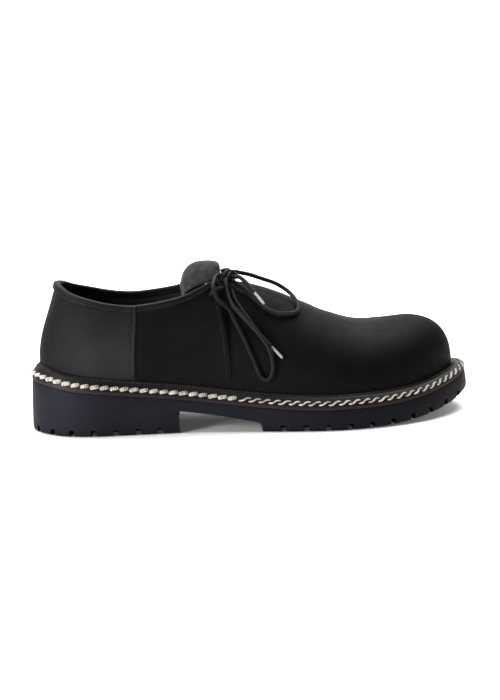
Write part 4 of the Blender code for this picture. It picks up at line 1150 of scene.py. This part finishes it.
def makeTongue():
    steps = tongue["rowsPerStep"] * (len(tongueRows) - 1)
    rows = []
    for k in range(steps + 1):
        at = k / tongue["rowsPerStep"]
        place, height, half, fall = (
            smoothValue(list(range(len(tongueRows))), [getattr(row, key) for row in tongueRows], at, False)
            for key in Tongue._fields
        )
        x = (place - 0.5) * last["length"]
        middle = Vector((x, -soleMiddle, seatHeight(x) + height * tongue["top"]))
        rows.append((middle, half * tongue["width"] / 2, fall * tongue["arch"]))
    across = tongue["teeth"] * tongue["columnsPerTooth"]
    fromEnd = [0.0]
    for k in range(steps, 0, -1):
        fromEnd.insert(0, fromEnd[0] + (rows[k][0] - rows[k - 1][0]).length)
    skins = [[], []]
    for k, (middle, half, fall) in enumerate(rows):
        ahead, behind = rows[max(k - 1, 0)][0], rows[min(k + 1, steps)][0]
        forward = (ahead - behind).normalized()
        normal = Vector((-forward.z, 0.0, forward.x))
        top, low = [], []
        for j in range(across + 1):
            u = 2 * j / across - 1
            point = middle + Vector((0.0, u * half, -fall * u * u))
            phase = j / tongue["columnsPerTooth"] % 1.0
            tooth = 1 - abs(2 * phase - 1)
            pinked = tongue["tooth"] * (1 - smoothStep(fromEnd[k] / tongue["pinked"]))
            point = point + forward * pinked * (tooth - 1)
            wave = tongue["wave"] * math.sin(u * 5 + k * 0.11) * smoothStep(k / steps * 2 - 0.6)
            lean = Vector((normal.x, 2 * fall * u / half * normal.z, normal.z)).normalized()
            top.append(point + lean * wave)
            low.append(point + lean * (wave - tongue["thickness"]))
        skins[0].append(top)
        skins[1].append(low)
    bm = bmesh.new()
    rim = bm.verts.layers.float.new("cutEdge")
    grids = [[[bm.verts.new(point) for point in line] for line in skin] for skin in skins]
    for grid in grids:
        skinFaces(bm, grid)
    top, low = grids
    loop = [(0, j) for j in range(across + 1)] + [(k, across) for k in range(1, steps + 1)]
    loop += [(steps, j) for j in range(across - 1, -1, -1)] + [(k, 0) for k in range(steps - 1, 0, -1)]
    for (a, b), (c, d) in zip(loop, loop[1:] + loop[:1]):
        bm.faces.new((top[a][b], top[c][d], low[c][d], low[a][b]))
        top[a][b][rim] = low[a][b][rim] = 1.0
    outwards(bm)
    wearPiece(addPiece("tongue_suede", bm, [finish["suede"]], 60), "tongue_suede", "tongue")


makeTongue()
print("tongue made")

# ---- insole ----
insole = {
    "thickness": 3.0 * mm,
    "edge": 0.8 * mm,
    "dish": 0.4 * mm,
    "dishEdge": 6 * mm,
}


def makeInsole():
    rings = []
    thickness, edge = insole["thickness"], insole["edge"]
    for inset, height in ((0.0, 0.0), (0.0, thickness - edge), (0.3 * edge, thickness - 0.25 * edge),
                          (edge, thickness), (insole["dishEdge"], thickness - insole["dish"])):
        ring = []
        for k in range(0, columnCount, 2):
            point = wallInner[k][0] - wallNormals[k][0] * (last["gap"] + inset)
            ring.append(Vector((point.x, point.y, seatHeight(point.x) + last["gap"] + height)))
        rings.append(ring)
    bm = bmesh.new()
    made = addRings(bm, rings)
    capAcross(bm, made[0])
    capAcross(bm, made[-1])
    outwards(bm)
    wearPiece(addPiece("insole_lining", bm, [finish["insole"]], 50), "insole_lining", "insole")


makeInsole()
print("insole made")

# ---- outsole: moulded rubber with a lugged tread and a heel ----
outsole = {
    "columns": 420,
    "flareHeight": 5.2 * mm,
    "treadBevel": 1.6 * mm,
    "heelBreast": 101 * mm,
    "archHeight": 14.8 * mm,
    "archStep": 5.8 * mm,
    "archEnd": 157 * mm,
    "lugDepth": 4.2 * mm,
    "lugPitch": 15.2 * mm,
    "notchWidth": 3.6 * mm,
    "notchReach": 12.5 * mm,
    "channel": 4.5 * mm,
    "bars": 7,
    "heelBars": 4,
    "cornerMargin": 0.04,  # radians round the sole that stay uncut beside the heel's breast and the arch
    "softEdge": 0.35 * mm,
}
roundPlaces = [2 * math.pi * k / outsole["columns"] for k in range(outsole["columns"])]


def flatBox(bm, start, end, width, bottom, top):
    along = (end - start).normalized()
    aside = Vector((-along.y, along.x)) * width / 2
    corners = [start - aside, end - aside, end + aside, start + aside]
    for ring in addRings(bm, [[(c.x, c.y, height) for c in corners] for height in (bottom, top)]):
        bm.faces.new(ring)


def notchPlaces(start, end):
    step = 0.002
    places, travelled, around = [], outsole["lugPitch"] / 2, start
    while around < end:
        travelled += (rawOutline(around + step) - rawOutline(around)).length
        around += step
        if travelled >= outsole["lugPitch"]:
            travelled -= outsole["lugPitch"]
            places.append(around)
    return places


def makeOutsole():
    flare, soft, bevel = last["sideFlare"], outsole["softEdge"], outsole["treadBevel"]
    profile = [
        (bevel, 0.0, 0.0), (0.62 * bevel, 0.0, 0.10 * bevel), (0.30 * bevel, 0.0, 0.38 * bevel),
        (0.10 * bevel, 0.0, 0.95 * bevel), (0.0, 0.0, 2.0 * bevel), (0.0, 0.0, outsole["flareHeight"]),
        (0.30 * flare, 0.35, 0.0), (0.70 * flare, 0.75, 0.0), (flare, 1.0, -soft),
        (flare + 0.3 * soft, 1.0, -0.3 * soft), (flare + soft, 1.0, 0.0),
    ]
    rings = []
    for inset, share, extra in profile:
        ring = []
        for around in roundPlaces:
            point = soleEdge(around, inset)
            low = toeLift(point.x)
            body = seatHeight(point.x) - low
            start = outsole["flareHeight"] if 0 < share < 1 else 0.0
            ring.append(Vector((point.x, point.y, low + start + share * (body - start) + extra)))
        rings.append(ring)
    for inset in (flare, flare + last["wall"] + last["gap"]):
        points = [soleEdge(around, inset + weltSize(around, "width")) for around in roundPlaces]
        rings.append([Vector((point.x, point.y, seatHeight(point.x))) for point in points])
    bm = bmesh.new()
    made = addRings(bm, rings)
    capAcross(bm, made[0])
    capAcross(bm, made[-1])
    outwards(bm)
    piece = addPiece("outsole_rubber", bm, [finish["rubber"]])
    cutWith(piece, archCutter())
    cutWith(piece, treadCutter())
    piece.data.shade_smooth()
    piece.data.set_sharp_from_angle(angle=math.radians(38))
    wearPiece(piece, "black_rubber", "outsole")


def archCutter():
    bm = bmesh.new()
    start, end = (outsole[key] - last["length"] / 2 for key in ("heelBreast", "archEnd"))
    run, high, step = end - start, outsole["archHeight"], outsole["archStep"]
    below = -outsole["lugDepth"]
    profile = [(start, below), (start, 0.84 * high)]
    for share, drop in ((0.012, -0.03), (0.03, 0.0), (0.12, 0.06), (0.26, 0.18), (0.40, 0.31), (0.58, 0.50),
                        (0.75, 0.68), (0.88, 0.84), (1.0, 1.0)):
        profile.append((start + share * run, high + drop * (step - high)))
    profile.append((end, below))
    for side in addRings(bm, [[(x, y, z) for x, z in profile] for y in (-last["ball"], last["ball"])]):
        bm.faces.new(side)
    return bm


def treadCutter():
    bm = bmesh.new()
    depth, margin = outsole["lugDepth"], outsole["cornerMargin"]
    breast, arch = (angleOf(outsole[key] / last["length"]) for key in ("heelBreast", "archEnd"))
    places = notchPlaces(arch + margin, 2 * math.pi - arch - margin)
    places += notchPlaces(2 * math.pi - breast + margin, 2 * math.pi + breast - margin)
    for around in places:
        lift = toeLift(soleEdge(around).x)
        flatBox(bm, soleEdge(around, outsole["notchReach"]), soleEdge(around, -outsole["notchWidth"]),
                outsole["notchWidth"], lift - depth, lift + depth)
    inset = outsole["notchReach"] + outsole["channel"]
    rows = [outsole["archEnd"] + outsole["lugPitch"] * (k + 0.5) for k in range(outsole["bars"])]
    rows += [outsole["heelBreast"] - outsole["lugPitch"] * (k + 1) for k in range(outsole["heelBars"])]
    for place in rows:
        angle = angleOf(place / last["length"])
        start, end = soleEdge(angle, inset), soleEdge(2 * math.pi - angle, inset)
        lift = toeLift((start.x + end.x) / 2)
        flatBox(bm, start, end, outsole["channel"], lift - depth, lift + 0.8 * depth)
    return bm


makeOutsole()
print("outsole made")

# ---- welt: a leather strip with an upright edge, a slope for the stitching and a pricked lip ----
welt = {
    "edge": 2.4 * mm,
    "columns": 400,
    # across the welt from its outer edge, share of the upright edge and share of the slope
    "profile": [
        (0.00, 0.00, 0.00), (0.00, 0.90, 0.00), (0.01, 0.98, 0.00), (0.03, 1.0, 0.05), (0.08, 1.0, 0.14),
        (0.16, 1.0, 0.25), (0.26, 1.0, 0.375), (0.38, 1.0, 0.52), (0.50, 1.0, 0.655), (0.58, 1.0, 0.735),
        (0.64, 1.0, 0.770), (0.70, 1.0, 0.775), (0.745, 1.0, 0.745), (0.78, 1.0, 0.71), (0.80, 1.0, 0.72),
        (0.825, 1.0, 0.80), (0.86, 1.0, 0.90), (0.91, 1.0, 0.945), (1.00, 1.0, 0.96), (1.00, 0.0, 0.00),
    ],
}


def weltPoint(around, across, edge=1.0, slope=None):
    if slope is None:
        rows = welt["profile"][3:-1]
        slope = float(np.interp(across, [row[0] for row in rows], [row[2] for row in rows]))
    point = soleEdge(around, last["sideFlare"] + across * (weltSize(around, "width") - last["gap"]))
    rise = slope * (weltSize(around, "height") - welt["edge"])
    return Vector((point.x, point.y, seatHeight(point.x) + last["gap"] + edge * welt["edge"] + rise))


def makeWelt():
    bm = bmesh.new()
    uvLayer = bm.loops.layers.uv.verify()
    places = [2 * math.pi * k / welt["columns"] for k in range(welt["columns"])]
    rings = [[bm.verts.new(weltPoint(around, *row)) for around in places] for row in welt["profile"]]
    lengths = [0.0]
    for a, b in zip(places, places[1:] + [2 * math.pi]):
        lengths.append(lengths[-1] + (soleEdge(b) - soleEdge(a)).length)
    shares = [row[0] for row in welt["profile"]]
    for i, (low, high) in enumerate(zip(rings, rings[1:] + rings[:1])):
        under, over = shares[i], shares[(i + 1) % len(shares)]
        for k in range(len(places)):
            n = (k + 1) % len(places)
            face = bm.faces.new((low[k], low[n], high[n], high[k]))
            start, end = lengths[k], lengths[k + 1]
            for loop, uv in zip(face.loops, ((start, under), (end, under), (end, over), (start, over))):
                loop[uvLayer].uv = uv
    outwards(bm)
    wearPiece(addPiece("welt_strip", bm, [finish["welt"]], 60), "welt_leather", "welt")


makeWelt()
print("welt made")

# ---- stitching, laid along its lines by Geometry Nodes ----
stitching = {
    "pitch": 6.65 * mm,
    "plaitAcross": 0.19,
    "turnRadius": 60 * mm,  # from the sole's middle to where blocks and plait meet, about
    "blockEnd": 0.475,  # share of the sole's length where the blocks give way to the plait
    "seamPitch": 2.7 * mm,
    "probe": 0.08,  # of the welt's width, for reading its slope
    "uneven": 0.04,
    "seed": 7,
}


def stitchTree(material):
    tree = bpy.data.node_groups.new("sewnLine", "GeometryNodeTree")
    tree.is_modifier = True
    sockets = {"Line": "Geometry", "Stitch": "Object", "Pitch": "Float", "Uneven": "Float", "Seed": "Int"}
    for name, kind in sockets.items():
        tree.interface.new_socket(name, in_out="INPUT", socket_type="NodeSocket" + kind)
    tree.interface.new_socket("Sewing", in_out="OUTPUT", socket_type="NodeSocketGeometry")

    def node(kind, settings=None, links=None):
        made = tree.nodes.new(kind)
        for key, value in (settings or {}).items():
            setattr(made, key, value)
        for key, value in (links or {}).items():
            if isinstance(value, bpy.types.NodeSocket):
                tree.links.new(value, made.inputs[key])
            else:
                made.inputs[key].default_value = value
        return made

    given = node("NodeGroupInput")
    curve = node("GeometryNodeMeshToCurve", None, {0: given.outputs["Line"]})
    even = node("GeometryNodeResampleCurve", {"mode": "LENGTH"}, {
        "Curve": curve.outputs[0], "Length": given.outputs["Pitch"]})
    tangent = node("GeometryNodeInputTangent")
    outward = node("GeometryNodeInputNamedAttribute", {"data_type": "FLOAT_VECTOR"}, {"Name": "outNormal"})
    alongLine = node("FunctionNodeAlignRotationToVector", {"axis": "X"}, {"Vector": tangent.outputs[0]})
    upright = node("FunctionNodeAlignRotationToVector", {"axis": "Z", "pivot_axis": "X"}, {
        "Rotation": alongLine.outputs[0], "Vector": outward.outputs[0]})
    low, high = (node("ShaderNodeMath", {"operation": operation}, {0: 1.0, 1: given.outputs["Uneven"]})
                 for operation in ("SUBTRACT", "ADD"))
    size = node("FunctionNodeRandomValue", {"data_type": "FLOAT"}, {
        2: low.outputs[0], 3: high.outputs[0], "Seed": given.outputs["Seed"]})
    shape = node("GeometryNodeObjectInfo", {"transform_space": "ORIGINAL"}, {
        "Object": given.outputs["Stitch"]})
    placed = node("GeometryNodeInstanceOnPoints", None, {
        "Points": even.outputs[0], "Instance": shape.outputs["Geometry"], "Rotation": upright.outputs[0],
        "Scale": size.outputs[1]})
    real = node("GeometryNodeRealizeInstances", None, {0: placed.outputs[0]})
    dressed = node("GeometryNodeSetMaterial", None, {0: real.outputs[0], "Material": material})
    final = node("NodeGroupOutput")
    tree.links.new(dressed.outputs[0], final.inputs[0])
    return tree


def sewLine(name, lines, template, pitch, material, slot):
    # lines is a list of lists of (point, outward direction)
    bm = bmesh.new()
    normalLayer = bm.verts.layers.float_vector.new("outNormal")
    for line in lines:
        before = None
        for point, normal in line:
            vert = bm.verts.new(point)
            vert[normalLayer] = normal
            if before:
                bm.edges.new((before, vert))
            before = vert
    obj = addPiece(name, bm, [])
    tree = stitchTree(material)
    modifier = obj.modifiers.new("sewing", "NODES")
    modifier.node_group = tree
    values = {"Stitch": template, "Pitch": pitch, "Uneven": stitching["uneven"], "Seed": stitching["seed"]}
    for item in tree.interface.items_tree:
        if item.name in values:
            modifier[item.identifier] = values[item.name]
    bakeModifiers(obj)
    obj.data.shade_smooth()
    return wearPiece(obj, slot)


def threadShape(name, points, radius, sides, radii, flatten=1.0):
    bm = bmesh.new()
    tube(bm, [Vector(point) * mm for point in points], radius, sides, radii)
    outwards(bm)
    for vert in bm.verts:
        vert.co.z *= flatten
    return addPiece(name, bm, [])


def weltLine(start, end, across):
    # the line of the welt's stitching between two places round the sole, with its outward direction
    line = []
    probe, turn = stitching["probe"], 0.01
    count = max(2, int((end - start) / turn))
    for k in range(count + 1):
        around = start + (end - start) * k / count
        here = weltPoint(around, across)
        inward = weltPoint(around, across + probe) - weltPoint(around, max(across - probe, 0.02))
        onward = weltPoint(around + turn, across) - weltPoint(around - turn, across)
        normal = onward.cross(inward).normalized()
        if normal.dot(outwardAt(around).to_3d()) < 0:
            normal = -normal
        line.append((here, normal))
    return line


def makeWeltSewing():
    plait = threadShape("plaitStitch", [
        (-4.2, -1.05, -0.35), (-3.4, -1.20, 0.05), (-2.2, -1.22, 0.28), (-0.9, -0.72, 0.44), (0.0, 0.0, 0.50),
        (0.9, 0.72, 0.44), (2.2, 1.22, 0.28), (3.4, 1.20, 0.05), (4.2, 1.05, -0.35)],
        0.66 * mm, 7, [0.55, 0.90, 1.0, 1.02, 1.05, 1.02, 1.0, 0.90, 0.55])
    block = threadShape("blockStitch", [
        (-2.25, -0.66, -0.75), (-2.05, -0.58, -0.05), (-1.1, -0.32, 0.32), (0.0, 0.0, 0.44),
        (1.1, 0.32, 0.32), (2.05, 0.58, -0.05), (2.25, 0.66, -0.75)],
        1.48 * mm, 8, [0.74, 0.97, 1.0, 1.02, 1.0, 0.97, 0.74], 0.72)
    change = angleOf(stitching["blockEnd"])
    across = stitching["plaitAcross"]
    gap = 0.5 * stitching["pitch"] / stitching["turnRadius"]
    fore = weltLine(change, 2 * math.pi - change, across)
    rear = weltLine(2 * math.pi - change + gap, 2 * math.pi + change - gap, across)
    sewLine("welt_plait", [fore], plait, stitching["pitch"], finish["weltThread"], "welt_leather")
    sewLine("welt_blocks", [rear], block, stitching["pitch"], finish["weltThread"], "welt_leather")
    for template in (plait, block):
        bpy.data.objects.remove(template)


def columnLine(side, back, edge, low, high):
    # a line up the wall, a given way behind a lapped edge
    x = last[edge] - back

    def miss(k):
        column = columnsRound[k]
        return abs(alongOf(column.angle) * last["length"] - x) + (column.mix is not None)

    k = min(range(columnCount // 2), key=miss)
    if side == innerSide:
        k = -k % columnCount
    rows = range(int(low * upper["rows"]), int(high * upper["rows"]))
    return [(wallOuter[k][row], wallNormals[k][row]) for row in rows]


def makeSeamSewing():
    points = [(-1.05, 0, -0.12), (-0.6, 0, 0.16), (0.6, 0, 0.16), (1.05, 0, -0.12)]
    stitch = threadShape("seamStitch", points, 0.30 * mm, 6, [0.7, 1.0, 1.0, 0.7])
    lines = []
    for side in (outerSide, innerSide):
        lines.append(columnLine(side, upper["seamBack"], "counterSeam", 0.08, 0.93))
        lines.append(columnLine(side, upper["seamBack"], "quarterSeam", 0.10, 0.95))
    pitch, thread = stitching["seamPitch"], finish["seamThread"]
    sewLine("seam_stitches", lines, stitch, pitch, thread, "black_leather")
    collar = []
    far = binding["near"] + binding["thickness"] - 0.15 * mm
    for k in collarColumns[2:-2]:
        normal = wallNormals[k][-1]
        collar.append((downFrom(wallOuter[k], binding["stitchDown"]) + normal * far, normal))
    sewLine("binding_stitches", [collar], stitch, pitch, thread, "binding_tape")
    bpy.data.objects.remove(stitch)


makeWeltSewing()
makeSeamSewing()
print("stitching made")

# ---- floor, backdrop and light ----
studio = {
    "floor": 3.0,
    "wall": 1.6,
    "bend": 0.8,
    "height": 3.4,
    "sink": 0.2 * mm,
    "world": 0.12,
    "view": "Standard",
    "gamma": 0.80,  # the photograph's deep blacks
}


def makeGround():
    # the floor, and the wall that it bends up into
    half, wall, bend = studio["floor"], studio["wall"], studio["bend"]
    profile = [(-half, 0.0), (wall, 0.0)]
    for k in range(1, 13):
        a = math.pi / 2 * k / 12
        profile.append((wall + bend * math.sin(a), bend * (1 - math.cos(a))))
    profile.append((wall + bend, studio["height"]))
    bm = bmesh.new()
    sides = [[(x, y, z - studio["sink"]) for y, z in profile] for x in (-2 * half, 2 * half)]
    skinFaces(bm, [[bm.verts.new(point) for point in side] for side in sides])
    addPiece("studio_floor", bm, [finish["floor"]])


def addLight(name, place, aim, size, energy):
    data = bpy.data.lights.new(name, "AREA")
    data.shape = "RECTANGLE"
    data.size, data.size_y = size
    data.energy = energy
    light = bpy.data.objects.new(name, data)
    light.location = place
    light.rotation_euler = (Vector(aim) - Vector(place)).to_track_quat("-Z", "Y").to_euler()
    scene.collection.objects.link(light)


def makeStudio():
    makeGround()
    world = bpy.data.worlds.new("studioWorld")
    world.use_nodes = True
    sky = world.node_tree.nodes["Background"].inputs
    sky["Color"].default_value, sky["Strength"].default_value = paint(1.0), studio["world"]
    scene.world = world
    scene.view_settings.view_transform = studio["view"]
    scene.view_settings.gamma = studio["gamma"]
    addLight("topSoftbox", (-0.05, 0.45, 1.9), (-0.05, 0.1, 0.0), (2.4, 1.6), 66)
    addLight("heelSide", (-1.15, -0.75, 0.40), (-0.10, 0.0, 0.05), (0.50, 0.60), 19)
    addLight("backdropLight", (0.0, 0.6, 2.2), (0.0, 2.4, 0.9), (3.0, 1.0), 90)


makeStudio()
print("studio made")
